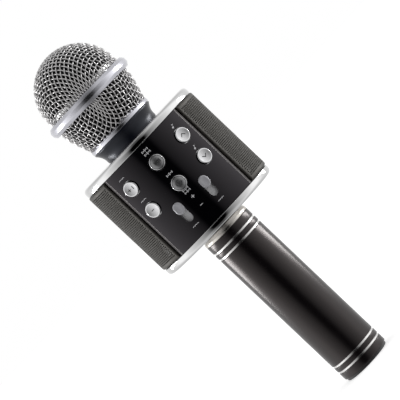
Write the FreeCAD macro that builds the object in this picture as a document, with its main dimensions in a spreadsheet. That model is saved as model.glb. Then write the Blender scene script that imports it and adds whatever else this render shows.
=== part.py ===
"""A hand-held karaoke microphone with two side loudspeakers, as a parametric document.

The microphone stands upright on the end of its handle. The origin is the centre of that
end, +Z runs along the axis to the grille, -Y is the face with the buttons and +X is to the
right of someone who looks at that face. All sizes are millimetres.
"""
import FreeCAD, Part
import math
import os
import re

import Sketcher

V = FreeCAD.Vector

# The driving dimensions. Each one is a cell of the sheet, and nothing else sets a size.
DIMENSIONS = {
    # Handle tube, its bright-cut grooves and the cap that closes it.
    "handle_radius": 16.35,
    "handle_wall": 1.75,
    "handle_length": 110.5,
    "handle_edge": 1.0,
    "groove_width": 1.4,
    "groove_depth": 0.5,
    "groove_bevel": 0.35,
    "groove_margin": 5.75,
    "groove_pitch": 4.35,
    "cap_head": 1.5,
    "cap_step": 0.95,
    "cap_round": 0.6,
    "cap_spigot": 10.0,
    "cap_wall": 2.0,
    "coin_slot_width": 1.8,
    "coin_slot_depth": 1.0,
    "coin_slot_length": 18.0,
    "fit_gap": 0.08,
    "ease_gap": 0.3,
    # Ferrule between the handle and the speaker box.
    "ferrule_height": 4.5,
    "ferrule_taper": 2.15,
    "ferrule_spigot": 7.0,
    "cable_way": 8.0,
    # Rechargeable cell and what holds it.
    "cell_radius": 9.2,
    "cell_length": 65.0,
    "cell_crimp": 0.5,
    "cell_button_radius": 3.2,
    "cell_button_height": 1.0,
    "spring_length": 6.0,
    "spring_wire": 0.4,
    "spring_inset": 2.7,
    "spring_turns": 4.0,
    "sleeve_wall": 1.6,
    "sleeve_flange": 3.0,
    "contact_margin": 2.8,
    "contact_sheet": 0.5,
    # Speaker box: a plan of four tangent arcs, closed by a plate at each end.
    "half_width": 42.0,
    "half_depth": 33.5,
    "side_radius": 26.0,
    "plate_thickness": 4.7,
    "plate_round": 2.6,
    "plate_edge": 0.4,
    "box_height": 60.5,
    "frame_inset": 2.75,
    "frame_wall": 2.0,
    "post_radius": 1.9,
    "post_clearance": 0.75,
    "post_sink": 0.64,
    "screw_radius": 1.1,
    "screw_head_radius": 2.2,
    "screw_head_height": 1.4,
    "screw_length": 8.0,
    # Front and rear panels.
    "panel_inset": 0.8,
    "panel_wall": 1.8,
    "panel_margin": 2.55,
    "panel_gap": 0.3,
    "panel_bevel": 0.5,
    # Perforated side covers, folded back all round.
    "cover_proud": 0.5,
    "cover_sheet": 0.6,
    "cover_gap": 1.6,
    "cover_round": 1.2,
    # Buttons: three columns and two rows.
    "button_radius": 4.5,
    "button_clearance": 0.5,
    "button_proud": 1.2,
    "button_dish": 0.25,
    "button_rim": 0.7,
    "flange_overlap": 0.6,
    "button_flange": 0.7,
    "button_stem_radius": 2.0,
    "button_travel": 0.7,
    "column_clearance": 2.31,
    "row_high": 47.0,
    "row_low": 29.9,
    "switch_side": 6.0,
    "switch_height": 3.2,
    "switch_plunger": 0.9,
    "switch_plunger_radius": 1.7,
    "board_depth": 9.3,
    "board_thickness": 1.6,
    "board_reach": 1.96,
    "key_board_half": 4.2,
    # Sliders beside the centre line.
    "slider_clearance": 1.14,
    "slot_height": 16.8,
    "slot_length": 14.0,
    "slot_half": 2.5,
    "knob_overlap": 0.4,
    "knob_length": 7.6,
    "knob_proud": 2.0,
    "slider_travel": 6.4,
    "lever_half": 0.8,
    "shutter_sheet": 0.4,
    "shutter_overlap": 0.6,
    "fader_half": 4.0,
    "fader_depth": 4.6,
    "fader_length": 20.0,
    # Sockets, switch and lamp on the back.
    "port_board_depth": 13.4,
    "port_recess": 0.7,
    "port_margin": 0.3,
    "usb_width": 13.2,
    "usb_height": 5.8,
    "usb_wall": 0.35,
    "usb_tongue": 1.9,
    "micro_width": 8.0,
    "micro_height": 3.0,
    "micro_wall": 0.3,
    "micro_tongue": 0.7,
    "card_width": 13.0,
    "card_height": 2.0,
    "card_wall": 0.3,
    "jack_radius": 3.0,
    "jack_bore": 1.8,
    "jack_body": 6.6,
    "jack_bore_length": 10.0,
    "lamp_radius": 1.0,
    "power_travel": 2.5,
    "power_knob_width": 4.0,
    "power_knob_height": 2.6,
    "power_proud": 1.2,
    "power_body_width": 12.0,
    "power_body_height": 5.0,
    "power_body_depth": 5.0,
    "power_row": 52.0,
    "lamp_row": 44.5,
    "jack_row": 36.5,
    "usb_row": 26.5,
    "micro_row": 17.5,
    "card_row": 10.0,
    # Loudspeakers, one behind each side cover.
    "baffle_lead": 0.21,
    "speaker_clearance": 0.454,
    "baffle_thickness": 2.0,
    "baffle_ease": 0.2,
    "baffle_hole_gap": 0.4,
    "speaker_radius": 16.0,
    "speaker_flange": 1.2,
    "speaker_rim": 1.8,
    "speaker_back": 7.0,
    "speaker_depth": 9.0,
    "speaker_wall": 0.6,
    "magnet_radius": 9.0,
    "magnet_depth": 4.5,
    "cone_ledge": 1.2,
    "cone_throat": 4.5,
    "cone_sheet": 0.5,
    "surround_height": 1.4,
    # Neck above the box.
    "neck_height": 9.3,
    "neck_step": 0.3,
    "neck_flare": 2.7,
    "neck_waist": 2.1,
    "neck_curve": 11.0,
    "neck_wall": 3.0,
    "neck_spigot": 6.0,
    # Head: ring, basket, band and dome, with its lining.
    "base_ring_height": 2.3,
    "ring_lip": 0.4,
    "ring_ease": 0.1,
    "ring_wall": 1.3,
    "ring_sleeve": 5.0,
    "basket_height": 20.0,
    "basket_radius": 22.0,
    "basket_bulge": 1.28,
    "grille_radius": 27.1,
    "grille_thickness": 1.6,
    "band_height": 6.5,
    "band_stand": 3.4,
    "band_bevel": 1.5,
    "band_flat": 2.5,
    "dome_straight": 3.4,
    "hoop_sheet": 0.6,
    "lining_gap": 0.9,
    "lining_thickness": 3.0,
    "lining_start": 5.6,
    # Capsule and what carries it.
    "holder_flange": 1.5,
    "holder_margin": 0.6,
    "holder_neck_radius": 8.0,
    "holder_height": 12.0,
    "holder_cup": 9.0,
    "holder_wall": 1.5,
    "capsule_radius": 11.0,
    "capsule_height": 14.0,
    "cushion_thickness": 1.2,
}

# Sizes that follow from the driving ones. Each is written once and is read by name.
WORKED_OUT = {
    "handle_bore": "handle_radius - handle_wall",
    "handle_top": "cap_head + handle_length",
    "cap_radius": "handle_radius - cap_step",
    "ferrule_top_radius": "handle_radius - ferrule_taper",
    "spring_base_radius": "cell_radius - spring_inset",
    "contact_radius": "cell_button_radius + contact_margin",
    "plate_low": "handle_top + ferrule_height",
    "box_low": "plate_low + plate_thickness",
    "box_high": "box_low + box_height",
    "neck_low": "box_high + plate_thickness",
    "head_low": "neck_low + neck_height",
    "basket_low": "head_low + base_ring_height",
    "band_low": "basket_low + basket_height",
    "band_high": "band_low + band_height",
    "band_middle": "band_low + band_height/2",
    "dome_centre": "band_high + dome_straight",
    "side_centre": "half_width - side_radius",
    "front_radius": "(side_centre^2 + half_depth^2 - side_radius^2)/(2*(half_depth - side_radius))",
    "front_centre": "front_radius - half_depth",
    "panel_face": "half_depth - panel_inset",
    "panel_back": "panel_face - panel_wall",
    "slider_spread": "button_flange_radius + slider_clearance + shutter_half",
    "button_spread": "slider_spread + shutter_half + column_clearance + button_flange_radius",
    "panel_half": "button_spread + button_hole + panel_margin",
    "main_board_half": "slider_spread + board_reach",
    "button_angle": "asin(button_spread/(front_radius - panel_inset))",
    "slider_angle": "asin(slider_spread/(front_radius - panel_inset))",
    "button_hole": "button_radius + button_clearance",
    "button_flange_radius": "button_hole + flange_overlap",
    "flange_back": "panel_back - 2*ease_gap - button_flange",
    "pressed_arm": "flange_back + front_centre - button_travel",
    "knob_half": "slot_half + knob_overlap",
    "shutter_half": "knob_half + knob_overlap",
    "frame_rim": "slot_height - slot_length/2 - shutter_overlap - slider_travel - 2*ease_gap",
    "front_window_depth": "pressed_arm*cos(button_angle) - front_centre"
                          " - button_flange_radius*sin(button_angle) - 2*ease_gap",
    "post_x": "pressed_arm*sin(button_angle) + button_flange_radius*cos(button_angle)"
              " + post_clearance",
    "post_y": "sqrt((front_radius - frame_inset - frame_wall - post_sink)^2 - post_x^2)"
              " - front_centre",
    "side_window_half": "speaker_radius + speaker_clearance",
    "cover_start": "panel_half + cover_gap",
    "baffle_x": "post_x - baffle_lead",
    "baffle_half": "post_y - post_radius - baffle_ease",
    "speaker_throat": "speaker_radius - speaker_rim",
    "cone_edge": "speaker_throat - cone_ledge",
    "baffle_hole": "speaker_throat + baffle_hole_gap",
    "cell_low": "cap_head + cap_wall + spring_length",
    "cell_high": "cell_low + cell_length",
    "sleeve_radius": "cell_radius + ease_gap + sleeve_wall",
    "sleeve_low": "cap_head + cap_spigot + ease_gap",
    "contact_low": "cell_high + cell_button_height + fit_gap",
    "base_ring_radius": "basket_radius + ring_lip",
    "ring_sleeve_radius": "basket_radius - grille_thickness - ring_ease",
    "neck_spigot_radius": "ring_sleeve_radius - ring_wall",
    "neck_bore": "neck_spigot_radius - neck_wall",
    "neck_top_radius": "base_ring_radius - neck_step",
    "neck_waist_radius": "neck_top_radius - neck_flare",
    "holder_flange_radius": "neck_spigot_radius - holder_margin",
    "band_radius": "grille_radius + band_stand",
    "band_edge_radius": "band_radius - band_bevel",
    "basket_slope": "basket_bulge*atan((grille_radius - basket_radius)/basket_height)",
    "basket_arc": "(basket_height*tan(basket_slope) - grille_radius + basket_radius)"
                  "*cos(basket_slope)/(1 - cos(basket_slope))",
    "basket_knee": "band_low - basket_arc*sin(basket_slope)",
    "basket_knee_radius": "grille_radius - basket_arc*(1 - cos(basket_slope))",
    "lining_inset": "grille_thickness + lining_gap",
    "lining_low": "basket_low + lining_start",
    "spigot_top": "head_low + neck_spigot",
    "holder_top": "spigot_top + holder_flange + holder_height",
    "capsule_low": "holder_top - holder_cup + holder_wall",
    "board_face": "panel_face - board_depth",
    "switch_face": "board_face + switch_height",
    "port_board_face": "panel_face - port_board_depth",
    "port_face": "panel_face - port_recess",
    "knob_row": "slot_height + slider_travel/2",
    "speaker_face": "baffle_x + baffle_thickness + speaker_flange",
    "speaker_mid": "box_low + box_height/2",
}

doc = FreeCAD.newDocument("KaraokeMicrophone")
sheet = doc.addObject("Spreadsheet::Sheet", "Sizes")
for row, (alias, value) in enumerate(DIMENSIONS.items(), start=1):
    sheet.set(f"A{row}", alias.replace("_", " "))
    sheet.set(f"B{row}", str(value))
    sheet.setAlias(f"B{row}", alias)
doc.recompute()

pieces = []


def sized(text):
    """Return the expression that a plain formula stands for, with every word read from the sheet."""
    def replace(match):
        word = match.group(0)
        if word in WORKED_OUT:
            return f"({sized(WORKED_OUT[word])})"
        return f"Sizes.{word}" if word in DIMENSIONS else word
    return re.sub(r"[a-z]\w*", replace, text)


def number(text):
    """Return the present value of a formula."""
    value = sheet.evalExpression(sized(text))
    return float(getattr(value, "Value", value))


def keep(piece, label):
    """Give a finished piece its label and put it on the list of sub-parts."""
    piece.Label = label
    pieces.append(piece)
    return piece


def place(piece, x="0", y="0", z="0", turn="0"):
    """Bind a piece's position and its turn about +Z."""
    for axis, text in zip("xyz", (x, y, z)):
        piece.setExpression(f"Placement.Base.{axis}", sized(text))
    if turn != "0":
        piece.setExpression("Placement.Rotation.Angle", sized(turn))
    return piece


def swing(piece, angle, z="0", x="0", y="0"):
    """Turn a piece drawn at the front about the axis of the front face's arc, and raise it.

    x and y are where the piece's own origin is before the turn.
    """
    lever = f"(({y}) - front_centre)"
    return place(
        piece,
        x=f"({x})*cos({angle}) - {lever}*sin({angle})",
        y=f"front_centre + ({x})*sin({angle}) + {lever}*cos({angle})",
        z=z,
        turn=angle,
    )


def new_body(name):
    """Start a solid of sketches and features."""
    return doc.addObject("PartDesign::Body", name)


def new_sketch(body, role, offset="0"):
    """Add a sketch on one of the body's own origin planes, moved along the plane's normal."""
    sketch = body.newObject("Sketcher::SketchObject", f"{body.Name}_sketch")
    plane = next(item for item in body.Origin.OriginFeatures if item.Role == role)
    sketch.AttachmentSupport = (plane, [""])
    sketch.MapMode = "FlatFace"
    if offset != "0":
        sketch.setExpression("AttachmentOffset.Base.z", sized(offset))
    return sketch


def fix_point(sketch, index, end, point, texts):
    """Bind one end of a sketch line or arc to its two coordinates."""
    for kind, axis, value, text in zip(("DistanceX", "DistanceY"), (-2, -1), point, texts):
        if text == "0":
            sketch.addConstraint(Sketcher.Constraint("PointOnObject", index, end, axis))
            continue
        row = sketch.addConstraint(Sketcher.Constraint(kind, -1, 1, index, end, value))
        sketch.setExpression(f"Constraints[{row}]", sized(text))


def draw(sketch, steps):
    """Draw a closed outline. A step is (x, y), or (x, y, radius, side) where an arc leaves it.

    The side says on which hand of the way round the arc's centre lies.
    """
    points = [(number(step[0]), number(step[1])) for step in steps]
    first = sketch.GeometryCount
    ends = []
    for index, step in enumerate(steps):
        start = V(*points[index], 0)
        finish = V(*points[(index + 1) % len(steps)], 0)
        if len(step) == 2:
            sketch.addGeometry(Part.LineSegment(start, finish))
            ends.append((1, 2))
            continue
        radius = number(step[2])
        chord = finish - start
        rise = math.sqrt(max(radius ** 2 - (chord.Length / 2) ** 2, 0))
        hand = 1 if step[3] == "left" else -1
        normal = V(-chord.y, chord.x, 0).normalize() * hand
        centre = (start + finish) / 2 + normal * rise
        angles = [math.atan2(end.y - centre.y, end.x - centre.x) for end in (start, finish)]
        circle = Part.Circle(centre, V(0, 0, 1), radius)
        if hand > 0:
            sketch.addGeometry(Part.ArcOfCircle(circle, angles[0], angles[1]))
            ends.append((1, 2))
        else:
            sketch.addGeometry(Part.ArcOfCircle(circle, angles[1], angles[0]))
            ends.append((2, 1))
    for index, step in enumerate(steps):
        following = (index + 1) % len(steps)
        sketch.addConstraint(Sketcher.Constraint(
            "Coincident", first + index, ends[index][1], first + following, ends[following][0]))
        fix_point(sketch, first + index, ends[index][0], points[index], step[:2])
        if len(step) > 2:
            row = sketch.addConstraint(
                Sketcher.Constraint("Radius", first + index, number(step[2])))
            sketch.setExpression(f"Constraints[{row}]", sized(step[2]))


def draw_circle(sketch, x, y, radius):
    """Draw a circle with a bound centre and radius."""
    centre = (number(x), number(y))
    index = sketch.addGeometry(Part.Circle(V(*centre, 0), V(0, 0, 1), number(radius)))
    fix_point(sketch, index, 3, centre, (x, y))
    row = sketch.addConstraint(Sketcher.Constraint("Radius", index, number(radius)))
    sketch.setExpression(f"Constraints[{row}]", sized(radius))


def rectangle(low_x, low_y, high_x, high_y):
    """Return the outline of an upright rectangle."""
    return [(low_x, low_y), (high_x, low_y), (high_x, high_y), (low_x, high_y)]


def raise_pad(body, sketch, length, middle=False):
    """Pad a sketch along its plane's normal, or half to each side of it."""
    pad = body.newObject("PartDesign::Pad", f"{body.Name}_pad")
    pad.Profile = sketch
    pad.SideType = "Symmetric" if middle else "One side"
    pad.setExpression("Length", sized(length))
    return pad


def cut_pocket(body, sketch, length, middle=False, along_normal=False):
    """Pocket a sketch against its plane's normal, along it, or half to each side."""
    doc.recompute()
    before = body.Shape.Volume
    pocket = body.newObject("PartDesign::Pocket", f"{body.Name}_pocket")
    pocket.Profile = sketch
    pocket.SideType = "Symmetric" if middle else "One side"
    pocket.Reversed = along_normal
    pocket.setExpression("Length", sized(length))
    doc.recompute()
    if body.Shape.Volume >= before:
        raise RuntimeError(f"{body.Name}: a pocket cuts nothing")
    return pocket


def round_edges(body, feature, radius, chosen):
    """Fillet the edges of the last feature that the test picks out."""
    doc.recompute()
    names = [f"Edge{row}" for row, edge in enumerate(feature.Shape.Edges, start=1) if chosen(edge)]
    if not names:
        raise RuntimeError(f"{body.Name}: no edge to round")
    fillet = body.newObject("PartDesign::Fillet", f"{body.Name}_fillet")
    fillet.Base = (feature, names)
    fillet.setExpression("Radius", sized(radius))
    return fillet


def level(height):
    """Return a test for edges that lie at one height."""
    def lies_there(edge):
        box = edge.BoundBox
        return abs(box.ZMin - number(height)) < 1e-4 and abs(box.ZMax - number(height)) < 1e-4
    return lies_there


def turned(label, steps, axis="z"):
    """Make a turned piece from half of its section.

    A step is (radius, height) for an axis along Z or Y, and (place, radius) along X.
    """
    body = new_body(label)
    sketch = new_sketch(body, "XZ_Plane" if axis == "z" else "XY_Plane")
    draw(sketch, steps)
    turn = body.newObject("PartDesign::Revolution", f"{label}_turn")
    turn.Profile = sketch
    turn.ReferenceAxis = (sketch, ["H_Axis" if axis == "x" else "V_Axis"])
    turn.Angle = 360
    return keep(body, label)


def block(name, low, high):
    """Make a plain block between two corners given as formulas."""
    box = doc.addObject("Part::Box", name)
    for side, start, end in zip(("Length", "Width", "Height"), low, high):
        box.setExpression(side, sized(f"({end}) - ({start})"))
    return place(box, *low)


def swung_block(name, low, high, angle):
    """Make a block drawn at the front and turned about the front face's arc."""
    box = block(name, low, high)
    return swing(box, angle, z=low[2], x=low[0], y=low[1])


def rod(name, foot, radius, length, direction=(0, 0, 1)):
    """Make a cylinder from a foot point along a direction."""
    cylinder = doc.addObject("Part::Cylinder", name)
    cylinder.setExpression("Radius", sized(radius))
    cylinder.setExpression("Height", sized(length))
    cylinder.Placement = FreeCAD.Placement(V(), FreeCAD.Rotation(V(0, 0, 1), V(*direction)))
    return place(cylinder, *foot)


def square_rod(name, radius, length, foot, turn, height):
    """Make a cylinder that stands out square to the front face, from a foot behind it."""
    cylinder = rod(name, ("0", "0", height), radius, length)
    lever = f"({foot} + front_centre)"
    cylinder.setExpression("Placement.Base.x", sized(f"{lever}*sin({turn})"))
    cylinder.setExpression("Placement.Base.y", sized(f"front_centre - {lever}*cos({turn})"))
    cylinder.setExpression("Placement.Rotation", f"rotation({sized(turn)}; 0; 90)")
    return cylinder


def joined(name, shapes):
    """Fuse shapes, or group them when they don't touch."""
    fuse = doc.addObject("Part::MultiFuse", name)
    fuse.Shapes = shapes
    return fuse


def cut_from(name, base, tool):
    """Cut one shape from another."""
    cut = doc.addObject("Part::Cut", name)
    cut.Base = base
    cut.Tool = tool
    return cut


# --- The plan of the speaker box -------------------------------------------------------------

def side_name(sign):
    """Return the name of a side: right is +X."""
    return "right" if sign > 0 else "left"


def signed(sign, text):
    """Return a formula or its opposite."""
    return text if sign > 0 else f"-({text})"


def meeting(inset):
    """Return where the front arc meets the side arc on the plan, moved in by an inset."""
    share = f"((front_radius - ({inset}))/(front_radius - side_radius))"
    return f"side_centre*{share}", f"front_centre*({share} - 1)"


def plan(inset):
    """Return the whole plan's outline, moved in by an inset."""
    across, along = meeting(inset)
    side = f"side_radius - ({inset})"
    face = f"front_radius - ({inset})"
    return [
        (across, f"-({along})", side, "left"),
        (across, along, face, "left"),
        (f"-({across})", along, side, "left"),
        (f"-({across})", f"-({along})", face, "left"),
    ]


def face_depth(across, inset):
    """Return how far the front arc, moved in by an inset, stands from the centre line."""
    return f"sqrt((front_radius - ({inset}))^2 - ({across})^2) - front_centre"


def panel_outline(sign):
    """Return the outline of a front (-1) or rear (+1) panel, with bevelled ends."""
    outer, inner = "panel_inset", "panel_inset + panel_wall"
    end = "panel_half"
    shoulder = "panel_half - panel_bevel"
    low = f"({face_depth(end, outer)}) - panel_bevel"
    steps = [
        (f"-({end})", signed(sign, face_depth(end, inner))),
        (f"-({end})", signed(sign, low)),
        (f"-({shoulder})", signed(sign, face_depth(shoulder, outer)),
         f"front_radius - ({outer})", "left" if sign < 0 else "right"),
        (shoulder, signed(sign, face_depth(shoulder, outer))),
        (end, signed(sign, low)),
        (end, signed(sign, face_depth(end, inner)),
         f"front_radius - ({inner})", "right" if sign < 0 else "left"),
    ]
    return steps


def cover_outline(sign, outer, inner, start):
    """Return the C-shaped outline of a side cover between two insets."""
    out_x, out_y = meeting(outer)
    in_x, in_y = meeting(inner)
    near, far = ("left", "right") if sign > 0 else ("right", "left")
    across = signed(sign, start)
    return [
        (across, f"-({face_depth(start, outer)})", f"front_radius - ({outer})", near),
        (signed(sign, out_x), f"-({out_y})", f"side_radius - ({outer})", near),
        (signed(sign, out_x), out_y, f"front_radius - ({outer})", near),
        (across, face_depth(start, outer)),
        (across, face_depth(start, inner), f"front_radius - ({inner})", far),
        (signed(sign, in_x), in_y, f"side_radius - ({inner})", far),
        (signed(sign, in_x), f"-({in_y})", f"front_radius - ({inner})", far),
        (across, f"-({face_depth(start, inner)})"),
    ]


# --- Handle ----------------------------------------------------------------------------------

def groove_steps(middle):
    """Return the outline of one groove round the tube, from below to above."""
    half = "groove_width/2"
    floor = "handle_radius - groove_depth"
    return [
        ("handle_radius", f"({middle}) - {half} - groove_bevel"),
        ("handle_radius - groove_bevel/2", f"({middle}) - {half}"),
        (floor, f"({middle}) - {half}"),
        (floor, f"({middle}) + {half}"),
        ("handle_radius - groove_bevel/2", f"({middle}) + {half}"),
        ("handle_radius", f"({middle}) + {half} + groove_bevel"),
    ]


def make_handle():
    """Make the tube, its end cap and the ferrule that joins it to the box."""
    low = "cap_head + groove_margin"
    high = "handle_top - groove_margin"
    grooves = []
    for middle in (low, f"{low} + groove_pitch", f"{high} - groove_pitch", high):
        grooves += groove_steps(middle)
    turned("handle_tube", [
        ("handle_bore", "cap_head"),
        ("handle_radius - handle_edge", "cap_head", "handle_edge", "left"),
        ("handle_radius", "cap_head + handle_edge"),
        *grooves,
        ("handle_radius", "handle_top"),
        ("handle_bore", "handle_top"),
    ])
    cap = turned("end_cap", [
        ("0", "0"),
        ("cap_radius - cap_round", "0", "cap_round", "left"),
        ("cap_radius", "cap_round"),
        ("cap_radius", "cap_head - fit_gap"),
        ("handle_bore - fit_gap", "cap_head - fit_gap"),
        ("handle_bore - fit_gap", "cap_head + cap_spigot"),
        ("handle_bore - fit_gap - cap_wall", "cap_head + cap_spigot"),
        ("handle_bore - fit_gap - cap_wall", "cap_head + cap_wall"),
        ("0", "cap_head + cap_wall"),
    ])
    slot = new_sketch(cap, "XY_Plane")
    draw(slot, rectangle("-coin_slot_length/2", "-coin_slot_width/2",
                         "coin_slot_length/2", "coin_slot_width/2"))
    cut_pocket(cap, slot, "coin_slot_depth", along_normal=True)
    turned("ferrule", [
        ("cable_way", "handle_top - ferrule_spigot"),
        ("handle_bore - fit_gap", "handle_top - ferrule_spigot"),
        ("handle_bore - fit_gap", "handle_top"),
        ("handle_radius", "handle_top"),
        ("handle_radius", "handle_top + ferrule_height/3",
         "sqrt(2)*(ferrule_height*2/3)", "left"),
        ("ferrule_top_radius", "plate_low"),
        ("cable_way", "plate_low"),
    ])


def make_battery():
    """Make the cell, its sleeve, the contact above it and the spring below it."""
    turned("battery_cell", [
        ("0", "cell_low"),
        ("cell_radius - cell_crimp", "cell_low"),
        ("cell_radius", "cell_low + cell_crimp"),
        ("cell_radius", "cell_high - cell_crimp"),
        ("cell_radius - cell_crimp", "cell_high"),
        ("cell_button_radius", "cell_high"),
        ("cell_button_radius", "cell_high + cell_button_height"),
        ("0", "cell_high + cell_button_height"),
    ])
    flange = "handle_bore - fit_gap"
    bore = "cell_radius + ease_gap"
    seat = "contact_low + contact_sheet + fit_gap"
    turned("battery_sleeve", [
        (bore, "sleeve_low"),
        (flange, "sleeve_low"),
        (flange, "sleeve_low + sleeve_flange"),
        ("sleeve_radius", "sleeve_low + sleeve_flange"),
        ("sleeve_radius", f"{seat} - sleeve_flange + sleeve_wall"),
        (flange, f"{seat} - sleeve_flange + sleeve_wall"),
        (flange, f"{seat} + sleeve_wall"),
        ("cell_button_radius", f"{seat} + sleeve_wall"),
        ("cell_button_radius", seat),
        (bore, seat),
    ])
    turned("battery_contact", [
        ("0", "contact_low"),
        ("contact_radius", "contact_low"),
        ("contact_radius", "contact_low + contact_sheet"),
        ("0", "contact_low + contact_sheet"),
    ])
    foot = "cap_head + cap_wall + spring_wire"
    rise = number("spring_length - 2*spring_wire - fit_gap")
    helix = Part.makeHelix(rise / number("spring_turns"), rise, number("spring_base_radius"))
    helix.translate(V(0, 0, number(foot)))
    start = helix.Edges[0].firstVertex().Point
    heading = helix.Edges[0].tangentAt(helix.Edges[0].FirstParameter)
    section = Part.Wire(Part.makeCircle(number("spring_wire"), start, heading))
    spring = doc.addObject("Part::Feature", "battery_spring")
    spring.Shape = Part.Wire(helix).makePipeShell([section], True, True)
    keep(spring, "battery_spring")


# --- Speaker box -----------------------------------------------------------------------------

def make_plate(label, low, high, rounded, plain, bore):
    """Make one end plate, with its outer edge well rounded and its inner edge eased."""
    body = new_body(label)
    sketch = new_sketch(body, "XY_Plane", low)
    draw(sketch, plan("0"))
    draw_circle(sketch, "0", "0", bore)
    pad = raise_pad(body, sketch, "plate_thickness")

    def outer(height):
        lies_there = level(height)
        return lambda edge: lies_there(edge) and not edge.isClosed()
    fillet = round_edges(body, pad, "plate_round", outer(rounded))
    round_edges(body, fillet, "plate_edge", outer(plain))
    return body


def screw_spots():
    """Return the four places of the posts and of the screws that go into them."""
    return [(signed(along, "post_x"), signed(across, "post_y"))
            for along in (1, -1) for across in (1, -1)]


def make_plates():
    """Make the two end plates and the screws that hold the lower one."""
    bottom = make_plate("bottom_plate", "plate_low", "box_low", "plate_low", "box_low", "cable_way")
    holes = new_sketch(bottom, "XY_Plane", "plate_low")
    for x, y in screw_spots():
        draw_circle(holes, x, y, "screw_radius + ease_gap")
    cut_pocket(bottom, holes, "plate_thickness", along_normal=True)
    sinks = new_sketch(bottom, "XY_Plane", "plate_low")
    for x, y in screw_spots():
        draw_circle(sinks, x, y, "screw_head_radius + ease_gap")
    cut_pocket(bottom, sinks, "screw_head_height + ease_gap", along_normal=True)
    keep(bottom, "bottom_plate")
    top = make_plate("top_plate", "box_high", "neck_low", "neck_low", "box_high",
                     "neck_bore - 2*ease_gap")
    keep(top, "top_plate")
    parts = []
    for index, (x, y) in enumerate(screw_spots()):
        head = rod(f"plate_screw_head_{index}", (x, y, "plate_low + ease_gap"),
                   "screw_head_radius", "screw_head_height")
        shank = rod(f"plate_screw_shank_{index}", (x, y, "plate_low + ease_gap + screw_head_height"),
                    "screw_radius", "screw_length")
        parts += [head, shank]
    keep(joined("plate_screws", parts), "plate_screws")


def make_frame():
    """Make the frame inside the box: an oval tube opened on four sides, with four posts."""
    body = new_body("inner_frame")
    ring = new_sketch(body, "XY_Plane", "box_low")
    draw(ring, plan("frame_inset"))
    draw(ring, plan("frame_inset + frame_wall"))
    raise_pad(body, ring, "box_height")
    middle = "box_low + box_height/2"
    tall = "box_height - 2*frame_rim"
    windows = new_sketch(body, "XY_Plane", middle)
    wide, deep = "half_width", "half_depth"
    draw(windows, rectangle(f"-{wide}", f"-{deep}", wide, "-front_window_depth"))
    draw(windows, rectangle(f"-{wide}", "front_window_depth", wide, deep))
    for sign in (1, -1):
        ends = sorted((signed(sign, "post_x"), signed(sign, wide)), key=number)
        draw(windows, rectangle(ends[0], "-side_window_half", ends[1], "side_window_half"))
    cut_pocket(body, windows, tall, middle=True)
    posts = new_sketch(body, "XY_Plane", "box_low")
    for x, y in screw_spots():
        draw_circle(posts, x, y, "post_radius")
    raise_pad(body, posts, "box_height")
    bores = new_sketch(body, "XY_Plane", "box_low")
    for x, y in screw_spots():
        draw_circle(bores, x, y, "screw_radius")
    cut_pocket(body, bores, "screw_length", along_normal=True)
    keep(body, "inner_frame")


def make_cover(sign):
    """Make one perforated side cover: a curved tray whose rim folds back to the frame."""
    label = f"{side_name(sign)}_speaker_cover"
    body = new_body(label)
    sketch = new_sketch(body, "XY_Plane", "box_low + panel_gap")
    outer, back = "-cover_proud", "panel_inset + panel_wall"
    draw(sketch, cover_outline(sign, outer, back, "cover_start"))
    pad = raise_pad(body, sketch, "box_height - 2*panel_gap")
    low, high = level("box_low + panel_gap"), level("box_high - panel_gap")
    reach = number("front_radius")

    def on_the_outside(edge):
        middle = edge.valueAt((edge.FirstParameter + edge.LastParameter) / 2)
        limit = number("side_centre")
        inside = number("side_radius - panel_inset")
        if abs(middle.x) > limit + 1 and abs(middle.y) < reach:
            away = math.hypot(abs(middle.x) - limit, middle.y)
            return away > inside and edge.Length > number("cover_sheet") * 8
        return False
    round_edges(body, pad, "cover_round",
                lambda edge: (low(edge) or high(edge)) and on_the_outside(edge))
    hollow = new_sketch(body, "XY_Plane", "box_low + box_height/2")
    draw(hollow, cover_outline(sign, f"{outer} + cover_sheet", f"{back} + cover_sheet",
                               "cover_start + cover_sheet"))
    cut_pocket(body, hollow, "box_height - 2*panel_gap - 2*cover_sheet", middle=True)
    keep(body, label)


def make_panel(label, sign):
    """Make the front (-1) or rear (+1) panel, still without its openings."""
    body = new_body(label)
    sketch = new_sketch(body, "XY_Plane", "box_low + panel_gap")
    draw(sketch, panel_outline(sign))
    raise_pad(body, sketch, "box_height - 2*panel_gap")
    return body


def button_spots():
    """Return every button's name, the turn of its column and the height of its row."""
    names = {
        ("-button_angle", "row_high"): "echo_up_button",
        ("-button_angle", "row_low"): "echo_down_button",
        ("0", "row_high"): "play_button",
        ("0", "row_low"): "mode_button",
        ("button_angle", "row_high"): "next_button",
        ("button_angle", "row_low"): "previous_button",
    }
    return [(label, turn, f"box_low + {height}") for (turn, height), label in names.items()]


def make_front_panel():
    """Make the front panel with six round holes and two slots, each square to the face."""
    panel = make_panel("front_panel_blank", -1)
    tools = []
    for label, turn, height in button_spots():
        tools.append(square_rod(f"{label}_hole", "button_hole", "2*board_depth",
                                "panel_face - board_depth", turn, height))
    for sign in (1, -1):
        turn = signed(sign, "slider_angle")
        for end in (1, -1):
            height = f"box_low + slot_height + ({end})*(slot_length/2 - slot_half)"
            tools.append(square_rod(f"{side_name(sign)}_slot_end_{end + 1}", "slot_half",
                                    "2*board_depth", "panel_face - board_depth", turn, height))
        tools.append(swung_block(
            f"{side_name(sign)}_slot",
            ("-slot_half", "-panel_face - board_depth", "box_low + slot_height"
             " - slot_length/2 + slot_half"),
            ("slot_half", "-panel_face + board_depth", "box_low + slot_height"
             " + slot_length/2 - slot_half"),
            turn))
    openings = joined("front_panel_openings", tools)
    keep(cut_from("front_panel", panel, openings), "front_panel")


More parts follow.
